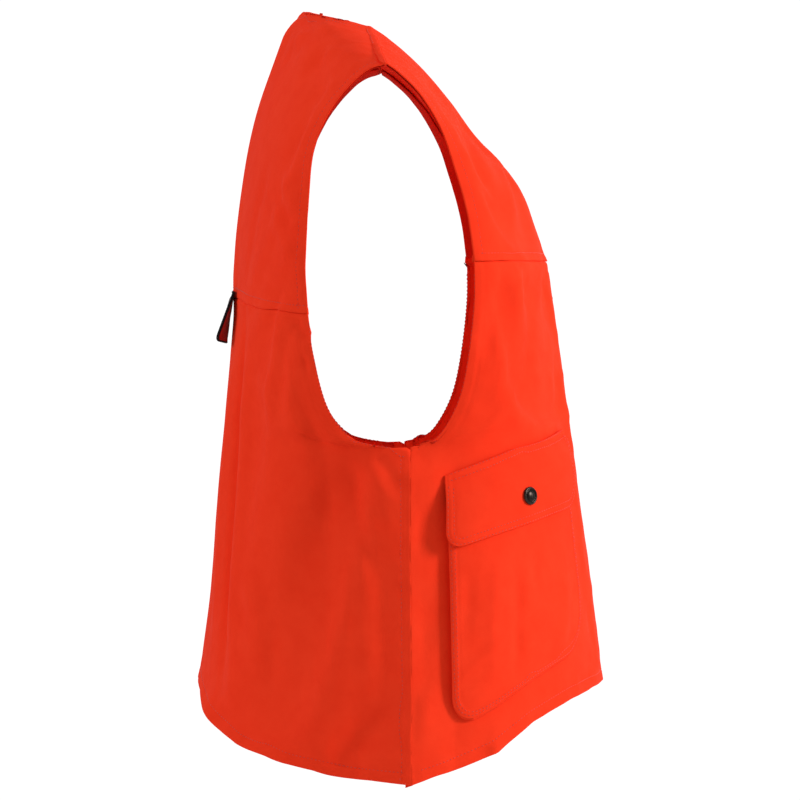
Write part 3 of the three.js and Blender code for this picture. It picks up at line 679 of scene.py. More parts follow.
BACK_FOLDS = sum([
    fold([[-205, 56, 292], [-205, 46, 235], [-206, 34, 193], [-208, 26, 158]], -3.4, 7, 0.8),
    fold([[-206, 30, 250], [-207, 24, 190], [-209, 24, 120], [-210, 26, 50]], -2.2, 8, 0.8),
    fold([[-202, 72, 285], [-203, 66, 230], [-204, 62, 190], [-205, 58, 130]], 1.6, 9, 0.8),
    fold([[-204, 34, 284], [-205, 20, 270], [-206, 9, 256]], -1.6, 4, 0.6),
    fold([[-204, 42, 276], [-206, 26, 256], [-207, 10, 236]], 1.5, 5, 0.6),
    fold([[-204, 52, 268], [-206, 34, 240], [-208, 16, 214]], -1.6, 5, 0.6),
    fold([[-180, 100, 398], [-191, 86, 380]], -3.0, 5, 0.7),
    fold([[-187, 95, 362], [-193, 85, 358]], -2.0, 4, 0.7),
    fold([[-131, 134, 353], [-155, 122, 338], [-177, 108, 319]], 3.4, 12, 0.7),
    fold([[-118, 149, 203], [-142, 140, 172], [-162, 128, 140]], 3.0, 13, 0.7),
    fold([[-92, 140, 440], [-88, 143, 400], [-90, 149, 345], [-92, 151, 284], [-102, 158, 155],
          [-118, 164, 70]], -8.5, 7, 0.8),
    fold([[-112, 128, 425], [-112, 136, 330], [-117, 144, 230], [-128, 148, 120], [-140, 152, 40]],
         4.6, 11, 0.8),
    fold([[-66, 146, 425], [-62, 156, 300], [-70, 164, 180], [-86, 170, 90]], 3.4, 11, 0.8),
    fold([[-150, 118, 250], [-158, 118, 180], [-168, 116, 110], [-176, 112, 40]], -2.0, 12, 0.8),
    fold([[-190, 84, 330], [-196, 76, 270], [-199, 74, 200]], -2.0, 9, 0.6),
], [])
YOKE_BACK_FOLDS = sum([
    fold([[-141, 111, 528], [-164, 102, 508], [-180, 94, 485]], 2.8, 8, 0.7),
    fold([[-138, 117, 498], [-162, 110, 468], [-179, 100, 447], [-186, 91, 434]], 2.6, 8, 0.7),
    fold([[-140, 116, 515], [-172, 100, 470]], -2.4, 6, 0.7),
    fold([[-27, 103, 640], [-70, 85, 646], [-112, 56, 645]], 2.2, 8, 0.9),
    fold([[-82, 142, 425], [-92, 134, 480], [-110, 118, 540]], -2.0, 10, 0.7),
    fold([[-30, 108, 622], [-80, 88, 630]], -1.8, 8, 0.9),
], [])
YOKE_FRONT_FOLDS = sum([
    fold([[-94, -43, 570], [-120, -50, 555], [-135, -55, 541], [-142, -72, 498]], -3.6, 10, 0.8),
    fold([[-69, -67, 543], [-98, -78, 505], [-125, -89, 469]], 3.4, 12, 0.8),
    fold([[-158, -30, 560], [-160, -48, 520], [-158, -60, 480]], 2.4, 9, 0.7),
], [])
PANEL_FRONT_FOLDS = sum([
    fold([[-125, -89, 462], [-140, -84, 420], [-152, -78, 375]], 3.8, 11, 0.8),
    fold([[-150, -74, 440], [-165, -66, 400], [-180, -56, 350]], -3.6, 9, 0.8),
    fold([[-105, -100, 430], [-130, -94, 380], [-150, -86, 330]], -2.6, 10, 0.8),
    fold([[-60, -118, 400], [-90, -116, 350], [-100, -118, 312]], 3.0, 13, 0.8),
    fold([[-60, -142, 90], [-64, -146, 40]], -2.2, 10, 0.8),
    fold([[-190, -70, 40], [-194, -68, 5]], 2.2, 9, 0.8),
    fold([[-140, -112, 45], [-146, -112, 5]], -2.0, 10, 0.8),
], [])


ARM = dict(band=10, rise=0.22, rows=[9], sink=0.35, pitch=8, reach=5)
NECK = dict(band=9, rise=0.25, rows=[8], sink=0.35, pucker=0.35, pitch=8, reach=5)
YOKE = dict(band=7.5, rise=0.35, rows=[6.5], sink=0.4, pitch=9, reach=6)
UNDER_YOKE = dict(valley=0.8, pucker=0.3, pitch=10, reach=6)
HEM = dict(band=11.5, rise=0.3, rows=[10], sink=0.4, pucker=0.5, pitch=8, reach=7)
for m, label in ((1, "right"), (-1, "left")):
    seams = [
        seam("hem_front", m, seed=21 + m, **HEM),
        seam("arm_front", m, pucker=0.35, seed=5 + m, **ARM),
        seam("zip", m, band=21, rise=0.4, rows=[8, 21], sink=0.45, pucker=0.3, pitch=9, reach=5, seed=8 + m),
        seam("side", m, ridge=11, tent=38),
        seam("yoke_front", m, seed=14 + m, **UNDER_YOKE),
    ]
    MADE[label + "_front_panel"] = make_panel(
        label + "_front_cloth", FRONT, 0, 1.996, [m], seams, PANEL_FRONT_FOLDS, start=beside_zip,
        damp=front_damp, tuck=("top", "side"))
    seams = [
        seam("yoke_front", m, pucker=0.35, seed=24 + m, **YOKE),
        seam("arm_front", m, pucker=0.35, seed=25 + m, **ARM),
        seam("v_neck", m, seed=28 + m, **NECK),
    ]
    MADE[label + "_front_yoke"] = make_panel(
        label + "_front_yoke_cloth", FRONT, 1.999, 3, [m], seams, YOKE_FRONT_FOLDS, tuck=("top",))

seams = []
for m in (1, -1):
    seams += [
        seam("hem_back", m, seed=31 + m, **HEM),
        seam("arm_back", m, pucker=0.4, seed=35 + m, **ARM),
        seam("side", m, band=8.5, rise=0.3, rows=[7.5], sink=0.4, pucker=0.4, pitch=7, reach=6,
             ridge=11, tent=46, seed=38 + m),
        seam("yoke_back", m, seed=41 + m, **UNDER_YOKE),
    ]
MADE["back_panel"] = make_panel("back_cloth", BACK, 0, 1.996, [1, -1], seams, BACK_FOLDS, middle_edge=False,
                                tuck=("top",))
seams = []
for m in (1, -1):
    seams += [
        seam("yoke_back", m, pucker=0.4, seed=51 + m, **YOKE),
        seam("arm_back", m, pucker=0.4, seed=55 + m, **ARM),
        seam("back_neck", m, seed=58 + m, **NECK),
        seam("shoulder", m, band=6, rise=0.5, rows=[5], sink=0.5, seed=59 + m),
    ]
MADE["back_yoke"] = make_panel("back_yoke_cloth", BACK, 1.999, 3, [1, -1], seams, YOKE_BACK_FOLDS)
TREES = {k: tree_of(v[1], v[2]) for k, v in MADE.items()}


# ---- facings ------------------------------------------------------------
FACING_WIDE, FACING_DEEP = 15.0, 2.5


def facing_strip(name, trees, line, towards):
    """A strip under the cloth, from an edge inwards; towards is a place on the cloth's side of the edge."""
    run = length_along(line)
    keep = np.linspace(0, run[-1], max(int(run[-1] / 4), 4))
    edge = at_lengths(keep, run, line)
    tan = np.gradient(edge, axis=0)
    tan /= np.linalg.norm(tan, axis=1, keepdims=True)
    across = np.array([1.6, 2.8, 4.8, 7, 9.5, 12, 14, FACING_WIDE])
    pts, uv = [], []

    def near(p):
        best = None
        for t in trees:
            hit = t.find_nearest(Vector(p))
            if hit[0] is not None and (best is None or hit[3] < best[3]):
                best = hit
        return np.array(best[0]), np.array(best[1])

    last = None
    for i, (e, t) in enumerate(zip(edge, tan)):
        _, n = near(e)
        inward = np.cross(n, t)
        inward /= np.linalg.norm(inward)
        if inward @ (towards - e if last is None else last) < 0:
            inward = -inward
        if last is not None:
            inward = inward * 0.5 + last * 0.5
            inward /= np.linalg.norm(inward)
        last = inward
        for d in across:
            p, n = near(e + inward * d)
            pts.append(p - n * (FACING_DEEP + 0.35 * waves(np.array([keep[i]]), 11, 77)[0] * (d > 6)))
            uv.append([d, keep[i]])
    pts, uv = np.array(pts), np.array(uv)
    f = grid_faces(len(edge), len(across))
    n = vertex_normals(pts, f)
    middle = np.array([0, 0, 400.0])
    if np.sum(n * (pts - middle)) < 0:
        f = f[:, ::-1]
    return shell(name, pts, f, uv, 0.9)


def parts_of(legs, lo, hi, m):
    return line_along(legs, lo, hi, 220) * np.array([m, 1, 1])


FACINGS = {}
for m, label in ((1, "right"), (-1, "left")):
    panel, yoke = TREES[label + "_front_panel"], TREES[label + "_front_yoke"]
    ahead = np.array([-150 * m, -120, 300.0])
    behind = np.array([-204 * m, 20, 150.0])
    FACINGS[label + "_arm_front_low"] = facing_strip(
        label + "_armhole_facing_front_low", [panel], parts_of(FRONT["edge"], 1.07, 1.985, m), ahead)
    FACINGS[label + "_arm_front_high"] = facing_strip(
        label + "_armhole_facing_front_high", [yoke], parts_of(FRONT["edge"], 2.0, 2.98, m),
        np.array([-100 * m, -100, 470.0]))
    FACINGS[label + "_arm_back"] = facing_strip(
        label + "_armhole_facing_back", [TREES["back_panel"], TREES["back_yoke"]],
        parts_of(BACK["edge"], 1.07, 2.98, m), behind)
    FACINGS[label + "_neck_front"] = facing_strip(
        label + "_neck_facing_front", [yoke], parts_of(FRONT["middle"], 2.02, 2.98, m),
        np.array([-170 * m, -80, 500.0]))
line = np.vstack([parts_of(BACK["middle"], 2.98, 2.75, 1), parts_of(BACK["middle"], 2.75, 2.98, -1)[1:]])
FACINGS["neck_back"] = facing_strip("neck_facing_back", [TREES["back_yoke"]], line, np.array([0, 150, 450.0]))


# ---- pockets and flaps --------------------------------------------------
def patch_at(patch, a, b):
    corner = {k: np.array(patch[k]) for k in patch}
    a, b = a[:, None], b[:, None]
    low = corner["low_front"] * (1 - a) + corner["low_side"] * a
    top = corner["top_front"] * (1 - a) + corner["top_side"] * a
    return low * (1 - b) + top * b


def patch_size(patch):
    s = np.linspace(0, 1, 60)
    mid = patch_at(patch, s, s * 0 + 0.5)
    up = patch_at(patch, s * 0 + 0.5, s)
    lines = [on_body(FRONT, w[:, 0], w[:, 1]) for w in (mid, up)]
    return [np.linalg.norm(np.diff(line, axis=0), axis=1).sum() for line in lines]


def stand_off(patch, size, x, y, h, m):
    """Place a point x mm from the patch's front side and y mm above its foot, h mm off the panel."""
    w = patch_at(patch, x / size[0], y / size[1])
    p = on_body(FRONT, w[:, 0], w[:, 1]) + normal_on(FRONT, w[:, 0], w[:, 1]) * h[:, None]
    return p * np.array([m, 1, 1])


def patch_grid(size, radius, step=3.2):
    wide, high = size
    xs, ys = spacing(wide, step), spacing(high, step)
    X, Y = np.meshgrid(xs, ys)
    short = np.clip(radius - Y, 0, radius)
    trim = radius - np.sqrt(radius ** 2 - short ** 2)
    X = trim + (wide - 2 * trim) * X / wide
    return X, Y


def outline_ids(rows, cols):
    left = [r * cols for r in range(rows - 1, 0, -1)]
    foot = list(range(cols))
    right = [r * cols + cols - 1 for r in range(1, rows)]
    return left + foot + right


def edge_distance(size, radius, X, Y):
    """How far each place lies inside the rounded outline."""
    wide = size[0]
    d = np.minimum(np.minimum(X, wide - X), Y)
    cx = np.where(X < wide / 2, radius, wide - radius)
    corner = (np.minimum(X, wide - X) < radius) & (Y < radius)
    return np.where(corner, radius - np.hypot(X - cx, Y - radius), d)


def make_pocket(name, m):
    size = patch_size(POCKET)
    X, Y = patch_grid(size, POCKET_CORNER)
    rows, cols = X.shape
    d = edge_distance(size, POCKET_CORNER, X, Y).ravel()
    x, y = X.ravel(), Y.ravel()
    t = y / size[1]
    h = POCKET_STANDS - 1.6 * np.exp(-d / 2.2) - 1.8 * np.clip((t - 0.82) / 0.18, 0, 1)
    h -= 5.5 * bump(y, 26)
    h += 0.5 / (1 + np.exp((d - 8) / 0.8)) - 0.5 * bump(d - 7, 1.4) - 0.35 * bump(d - 1.8, 0.9)
    uneven = 0.8 * waves(x + 3 * y, 26, 61 + m) * waves(y + 200, 31, 62)
    h += uneven * np.clip(d / 15, 0, 1) * np.clip((0.7 - t) / 0.2, 0, 1)
    top_points = stand_off(POCKET, size, x, y, h, m)
    folds = fold([[-178, -84, 205], [-184, -86, 140], [-188, -86, 85]], -2.4, 6, 0)
    folds += fold([[-190, -70, 200], [-196, -66, 140], [-198, -66, 90]], 1.5, 8, 0)
    folds += fold([[-160, -98, 204], [-166, -98, 165]], -1.8, 5, 0)
    folds += fold([[-132, -122, 200], [-138, -122, 140], [-146, -120, 105]], 1.8, 9, 0)
    folds += fold([[-203, -48, 190], [-206, -44, 120]], -1.2, 6, 0)
    if m < 0:
        for one in folds:
            one["line"] = one["line"] * np.array([-1, 1, 1]) + np.array([0, 0, 9])
            one["height"] *= 0.8
    ids = outline_ids(rows, cols)
    ox, oy = x[ids], y[ids]
    tx, ty = np.gradient(ox), np.gradient(oy)
    length = np.maximum(np.hypot(tx, ty), 1e-9)
    nx, ny = -ty / length, tx / length
    pts, faces, uv = [top_points], [grid_faces(rows, cols, 0, flip=(m > 0))], [np.stack([x, y], 1)]
    previous, start = np.array(ids), rows * cols
    wall = [(0.4, -0.8), (1.6, -1.7), (3.6, -2.3), (5.0, -3.4), (5.2, -5.2), (4.2, -7.2),
            (2.6, -8.6), (1.2, -9.4)]
    for k, (inset, drop) in enumerate(wall):
        px = np.clip(ox + nx * inset, 0, size[0])
        py = np.maximum(oy + ny * inset, 0)
        py[0], py[-1] = oy[0], oy[-1]
        py = np.minimum(py, size[1])
        level = np.maximum(h[ids] + drop * (h[ids] / 9.4), 0.3)
        level = level + 0.4 * waves(np.cumsum(length) + 50, 13, 90 + k)[:len(level)] * (0 < k < 6)
        pts.append(stand_off(POCKET, size, px, py, level, m))
        ring = start + np.arange(len(ids))
        a, b = previous[:-1], previous[1:]
        c, e = ring[1:], ring[:-1]
        q = np.stack([b, a, e, c], 1)
        faces.append(q[:, ::-1] if m > 0 else q)
        uv.append(np.stack([px + 3 * k, py - 3 * k], 1))
        previous, start = ring, start + len(ids)
    p, f, uv = np.vstack(pts), np.vstack(faces), np.vstack(uv)
    n = vertex_normals(p, f)
    face = np.zeros(len(p))
    relief = fold_relief(p[:rows * cols], folds)
    face[:rows * cols] = relief * np.clip(d / 6, 0, 1) * np.clip((0.72 - t) / 0.1, 0, 1)
    p = p + n * face[:, None]
    return shell(name, p, f, uv, 1.1), p[:rows * cols], grid_faces(rows, cols, 0, flip=(m > 0)), size


def make_flap(name, m):
    size = patch_size(FLAP)
    X, Y = patch_grid(size, FLAP_CORNER, 2.8)
    rows, cols = X.shape
    x, y = X.ravel(), Y.ravel()
    d = edge_distance(size, FLAP_CORNER, X, Y).ravel()
    t = y / size[1]
    down = np.minimum((1 - t) / 0.6, 1)
    h = 2.8 + (FLAP_STANDS - 0.8 - 2.8) * np.sin(math.pi / 2 * down) + 0.8
    h -= 1.3 * np.exp(-d / 4.5) * np.clip(down * 1.3 - 0.3, 0, 1)
    h += 0.35 / (1 + np.exp((d - 7.5) / 0.8)) - 0.5 * bump(d - 6.5, 1.3) - 0.35 * bump(d - 1.8, 0.9)
    top = size[1] - y
    h += 0.7 * bump(top - 3, 3) - 0.6 * bump(top - 7, 1.3)
    h += 1.0 * waves(x + 60, 22, 71 + m) * bump(y - 6, 18) * np.clip(down, 0, 1)
    h += 0.9 * bump(y - 0.62 * size[1], 9) * np.clip(d / 12, 0, 1)
    p = stand_off(FLAP, size, x, y, h, m)
    f = grid_faces(rows, cols, 0, flip=(m > 0))
    return shell(name, p, f, np.stack([x, y], 1), 2.0), p, f, size


POCKETS, FLAPS = {}, {}
for m, label in ((1, "right"), (-1, "left")):
    POCKETS[label] = make_pocket(label + "_pocket_cloth", m)
    FLAPS[label] = make_flap(label + "_flap_cloth", m)


def patch_outline(patch, size, radius, h, m):
    arc = np.linspace(0, math.pi / 2, 14)
    wide, high = size
    left = [(0.0, y) for y in np.linspace(high, radius, 40)]
    one = [(radius - radius * math.cos(a), radius - radius * math.sin(a)) for a in arc]
    foot = [(x, 0.0) for x in np.linspace(radius, wide - radius, 60)]
    two = [(wide - radius + radius * math.sin(a), radius - radius * math.cos(a)) for a in arc]
    right = [(wide, y) for y in np.linspace(radius, high, 40)]
    xy = np.array(left + one[1:] + foot[1:] + two[1:] + right[1:])
    return stand_off(patch, size, xy[:, 0], xy[:, 1], np.full(len(xy), h), m)


# ---- stitching ----------------------------------------------------------
def lines_for(m, names):
    out = []
    for name, towards, rows, trim in names:
        line = LINES[name] if isinstance(name, str) else name
        out.append((line * np.array([m, 1, 1]), np.array(towards, float) * np.array([m, 1, 1]), rows, trim))
    return out


LOW_FRONT = line_along(FRONT["edge"], 1.0, 1.99)
HIGH_FRONT = line_along(FRONT["edge"], 2.0, 3.0)
LOW_BACK = line_along(BACK["edge"], 1.0, 1.99)
HIGH_BACK = line_along(BACK["edge"], 2.0, 3.0)
CHEST, BACK_MID = [-204, -20, 150], [-204, 20, 150]
STITCHES = {}
for m, label in ((1, "right"), (-1, "left")):
    low = lines_for(m, [("hem_front", [-150, -110, 150], [10], 8), (LOW_FRONT, CHEST, [9], 4),
                        ("zip", [-80, -140, 250], [8, 21], 6)])
    high = lines_for(m, [("yoke_front", [-120, -80, 520], [6.5], 4), (HIGH_FRONT, [-100, -100, 470], [9], 4),
                         ("v_neck", [-150, -60, 520], [8], 26)])
    STITCHES[label + "_front"] = stitch_lines(label + "_front_stitching", TREES[label + "_front_panel"], low)
    STITCHES[label + "_yoke"] = stitch_lines(label + "_yoke_stitching", TREES[label + "_front_yoke"], high)
a, b = [], []
for m in (1, -1):
    a += lines_for(m, [("hem_back", [-120, 150, 150], [10], 2), (LOW_BACK, BACK_MID, [9], 4),
                       ("side", [-190, 80, 150], [7.5], 6)])
    b += lines_for(m, [("yoke_back", [-100, 130, 520], [6.5], 2), (HIGH_BACK, [-100, 120, 440], [9], 4),
                       ("back_neck", [-60, 120, 560], [8], 3), ("shoulder", [-140, 60, 600], [5], 6)])
STITCHES["back"] = stitch_lines("back_stitching", TREES["back_panel"], a)
STITCHES["back_yoke"] = stitch_lines("back_yoke_stitching", TREES["back_yoke"], b)
for m, label in ((1, "right"), (-1, "left")):
    for kind, (ob, p, f, size), patch, rows, level in (
            ("pocket", POCKETS[label], POCKET, [1.8, 7], POCKET_STANDS),
            ("flap", FLAPS[label], FLAP, [1.8, 6.5], 12)):
        middle = [np.array([value]) for value in (size[0] / 2, size[1] * 0.55, level)]
        centre = stand_off(patch, size, *middle, m)[0]
        outline = patch_outline(patch, size, POCKET_CORNER if kind == "pocket" else FLAP_CORNER, level, m)
        if kind == "flap":
            s = np.linspace(0, size[0], 60)
            head = stand_off(patch, size, s, s * 0 + size[1], s * 0 + 3.6, m)
            jobs = [(outline, centre, rows, 6), (head, centre, [1.5, 7], 2)]
        else:
            jobs = [(outline, centre, rows, 30)]
        STITCHES[label + "_" + kind] = stitch_lines(label + "_" + kind + "_stitching", tree_of(p, f), jobs)


# ---- small parts --------------------------------------------------------
def turned(name, profile, foot, axis, sides=56):
    """A lathed body: profile rows of (radius, height) along the axis from the foot, in millimetres."""
    z = np.array(axis, float)
    z /= np.linalg.norm(z)
    x = np.cross(z, [0, 0, 1.0])
    x /= np.linalg.norm(x)
    y = np.cross(z, x)
    pts, faces = [], []
    for r, h in profile:
        for k in range(sides):
            a = 2 * math.pi * k / sides
            pts.append(foot + z * h + (x * math.cos(a) + y * math.sin(a)) * max(r, 0.01))
    n = len(profile)
    for i in range(n - 1):
        for k in range(sides):
            k2 = (k + 1) % sides
            faces.append([i * sides + k, i * sides + k2, (i + 1) * sides + k2, (i + 1) * sides + k])
    faces.append([k for k in range(sides)][::-1])
    faces.append([(n - 1) * sides + k for k in range(sides)])
    return to_object_poly(name, pts, faces)


SNAP_AT = (0.596, 0.808)
SNAP_FOOT = on_body(FRONT, *[np.array([s]) for s in SNAP_AT])[0]
SNAP_AXIS = normal_on(FRONT, *[np.array([s]) for s in SNAP_AT])[0]
CAP = [(0.01, 0.2), (6.6, 0.2), (7.5, 0.4), (7.8, 0.9), (7.75, 1.5), (7.3, 2.1), (6.7, 2.35), (6.1, 2.2),
       (5.6, 1.75), (5.3, 1.6), (5.0, 1.75), (4.4, 2.3), (3.4, 2.75), (2.2, 3.05), (1.0, 3.2),
       (0.01, 3.23)]
CAPS = {}
for m, label in ((1, "right"), (-1, "left")):
    flip = np.array([m, 1, 1])
    CAPS[label] = turned(label + "_snap_cap_metal", CAP, (SNAP_FOOT + SNAP_AXIS * (FLAP_STANDS + 0.1)) * flip,
                         SNAP_AXIS * flip)

ZIP_FOOT, ZIP_TOP = np.array([0, -168, 94.0]), np.array([0, -123.5, 422.0])
ZIP_LONG = np.linalg.norm(ZIP_TOP - ZIP_FOOT)
ZIP_UP = (ZIP_TOP - ZIP_FOOT) / ZIP_LONG
ZIP_IN = np.array([0, ZIP_UP[2], -ZIP_UP[1]])
ZIP_DEEP = 5.4
TAPES = {}
for m, label, high in ((1, "left", ZIP_LONG - 15), (-1, "right", ZIP_LONG - 0.5)):
    zs = np.linspace(8, high, 150)
    xs = np.array([3.5, 3.9, 4.6, 5.4, 6.2, 8, 10, 12, 14, 15.5, 16.5])
    lift = np.array([0.25, 0.55, 0.65, 0.45, 0, 0, 0, 0, 0.12, 0.2, 0])
    X, Z = np.meshgrid(xs, zs)
    ripple = 0.25 * waves(Z.ravel(), 9, 31 + m).reshape(Z.shape) * np.clip((X - 8) / 6, 0, 1)
    out = 0.4 + np.repeat(lift[None, :], len(zs), 0) + ripple
    sideways = np.stack([m * X, 0 * X, 0 * X], -1)
    p = ZIP_FOOT + sideways + Z[..., None] * ZIP_UP + (ZIP_DEEP - out[..., None]) * ZIP_IN
    p = p.reshape(-1, 3)
    f = grid_faces(len(zs), len(xs), 0, flip=(m < 0))
    TAPES[label] = shell(label + "_zip_tape_cloth", p, f, np.stack([X.ravel(), Z.ravel()], 1), 0.9)


# Licence holder: a soft pouch with a bound edge, hung from the back yoke seam, and its clear window.
def rounded(width, high, radius):
    xs = spacing(width, 4.0)
    ys = spacing(high, 3.0)
    X, Y = np.meshgrid(xs, ys)
    near = np.minimum(Y, high - Y)
    short = np.clip(radius - near, 0, radius)
    trim = radius - np.sqrt(radius ** 2 - short ** 2)
    return trim + (width - 2 * trim) * X / width, Y


HOLDER_TOP = on_body(BACK, np.array([0.0]), np.array([2.0]))[0]
TILT = math.radians(15)
HOLDER_WIDE, HOLDER_HIGH, HOLDER_CORNER = 84.0, 43.5, 5.0


def on_holder(x, out, down):
    """x across from the middle, out from the pouch's back, down from its hinge line (mm)."""
    curl = (np.abs(x) / 42) ** 2.2 * (down / 43)
    out = out - 5.5 * down / 43 + curl * np.where(x < 0, 9.5, 7.0)
    y = out * math.cos(TILT) + down * math.sin(TILT)
    z = -down * math.cos(TILT) + out * math.sin(TILT)
    return np.stack([x, HOLDER_TOP[1] + CLOTH / 2 + 1.6 + y, 421 + z], -1)


def pouch(name, width, high, radius, out, thick, puff, seed=0, below=0.0):
    X, Y = rounded(width, high, radius)
    x, y = (X - width / 2).ravel(), Y.ravel()
    d = np.minimum(np.minimum(x + width / 2, width / 2 - x), np.minimum(y, high - y))
    ripple = 0.25 * waves(x + y * 2 + 100, 14, 81 + seed)
    o = out + puff * (1 - np.exp(-d / 5)) - 0.8 * (x / 40) ** 2 + ripple
    rows, cols = X.shape
    p = on_holder(x, o, y + below)
    f = grid_faces(rows, cols)
    if np.sum(vertex_normals(p, f)[:, 1]) < 0:
        f = f[:, ::-1]
    return shell(name, p, f, np.stack([x, y], 1), thick), p, f


HOLDER_BACK, hp, hf = pouch("holder_cloth", HOLDER_WIDE, HOLDER_HIGH, HOLDER_CORNER, 1.7, 1.6, 0.35)
HOLDER_WINDOW = pouch("holder_window_film", 74, 36, 3, 2.8, 0.35, 1.1, 3, 4.2)[0]


def binding_path():
    """The closed line that the binding follows round the pouch's edge."""
    w, h, r = HOLDER_WIDE, HOLDER_HIGH, HOLDER_CORNER
    arc = np.linspace(0, math.pi / 2, 8)
    loop = [(r - r * math.cos(a), r - r * math.sin(a)) for a in arc]
    loop += [(w - r + r * math.sin(a), r - r * math.cos(a)) for a in arc]
    loop += [(w - r + r * math.cos(a), h - r + r * math.sin(a)) for a in arc]
    loop += [(r - r * math.sin(a), h - r + r * math.cos(a)) for a in arc]
    loop = np.array(loop + [loop[0]])
    run = length_along(loop)
    s = np.linspace(0, run[-1], 190, endpoint=False)
    x, y = np.interp(s, run, loop[:, 0]) - w / 2, np.interp(s, run, loop[:, 1])
    return on_holder(x, 1.3 - 0.8 * (x / 40) ** 2, y)


def closed_tube(name, path, radius_in, radius_out, n_of):
    tan = np.roll(path, -1, 0) - np.roll(path, 1, 0)
    tan /= np.linalg.norm(tan, axis=1, keepdims=True)
    side = np.cross(tan, n_of)
    side /= np.linalg.norm(side, axis=1, keepdims=True)
    up = np.cross(side, tan)
    pts, faces, k = [], [], 10
    for i in range(len(path)):
        for j in range(k):
            a = 2 * math.pi * j / k
            pts.append(path[i] + side[i] * radius_in * math.cos(a) + up[i] * radius_out * math.sin(a))
    for i in range(len(path)):
        i2 = (i + 1) % len(path)
        for j in range(k):
            j2 = (j + 1) % k
            faces.append([i * k + j, i2 * k + j, i2 * k + j2, i * k + j2])
    return to_object_poly(name, pts, faces)


HOLDER_RIM = closed_tube("holder_binding", binding_path(), 1.15, 1.3,
                         np.array([0, math.cos(TILT), math.sin(TILT)]))
HOLDER_SEAM = on_holder(np.linspace(-39, 39, 60), np.full(60, 2.2), np.full(60, 0.2))
HOLDER_MIDDLE = on_holder(np.array([0.0]), np.array([2.0]), np.array([20.0]))[0]
HOLDER_STITCH = stitch_lines("holder_stitching", tree_of(hp, hf), [
    (HOLDER_SEAM, HOLDER_MIDDLE, [2.2, 4.6], 2)])

# Hanger loop and blank label inside the back neck.
LOOP_TOP = along(BACK["middle"], 2.74)[0]
loop_path = [[-26, 0, 0], [-23, -3, -11], [-13, -5, -19], [0, -6, -20],
             [13, -5, -19], [23, -3, -11], [26, 0, 0]]
path = spline(loop_path, np.linspace(0, 1, 60)) + np.array([0, LOOP_TOP[1] - 7.5, LOOP_TOP[2] - 14])
tan = np.gradient(path, axis=0)
tan /= np.linalg.norm(tan, axis=1, keepdims=True)
wide = np.cross([0, -1.0, 0], tan)
wide /= np.linalg.norm(wide, axis=1, keepdims=True)
face = np.cross(tan, wide)
ws = np.array([-2.2, -1.8, -0.9, 0, 0.9, 1.8, 2.2])
crown = np.array([0.0, 0.2, 0.12, 0.22, 0.12, 0.2, 0.0])
p = path[:, None, :] + wide[:, None, :] * ws[None, :, None] + face[:, None, :] * crown[None, :, None]
p = p.reshape(-1, 3)
S = length_along(path)
LOOP = shell("hanger_loop_tape", p, grid_faces(60, 7), np.stack([np.tile(ws, 60), np.repeat(S, 7)], 1), 0.9)

us, vs = np.linspace(-0.158, 0.158, 36), np.linspace(2.462, 2.578, 18)
A, B = np.meshgrid(us, vs)
label_p = on_body(BACK, np.abs(A).ravel(), B.ravel())
label_n = normal_on(BACK, np.abs(A).ravel(), B.ravel())
sign = np.where(A.ravel() > 0, -1.0, 1.0)
label_p[:, 0] *= sign
label_n[:, 0] *= sign
shift = sample(FIELDS[2], np.abs(A).ravel(), B.ravel())
label_p = label_p + shift - label_n * (2.6 + 0.25 * waves(A.ravel() * 200 + 60, 12, 4)[:, None])
f = grid_faces(18, 36)
if np.sum(vertex_normals(label_p, f) * -label_n) < 0:
    f = f[:, ::-1]
LABEL = shell("neck_label_cloth", label_p, f, np.stack([A.ravel() * 250, B.ravel() * 250], 1), 0.5)
LABEL_STITCH = stitch_lines("neck_label_stitching", tree_of(label_p, f), [
    (label_p.reshape(18, 36, 3)[k], label_p.mean(0), [1.6], 1) for k in (0, -1)] + [
    (label_p.reshape(18, 36, 3)[:, k], label_p.mean(0), [1.6], 1) for k in (0, -1)])


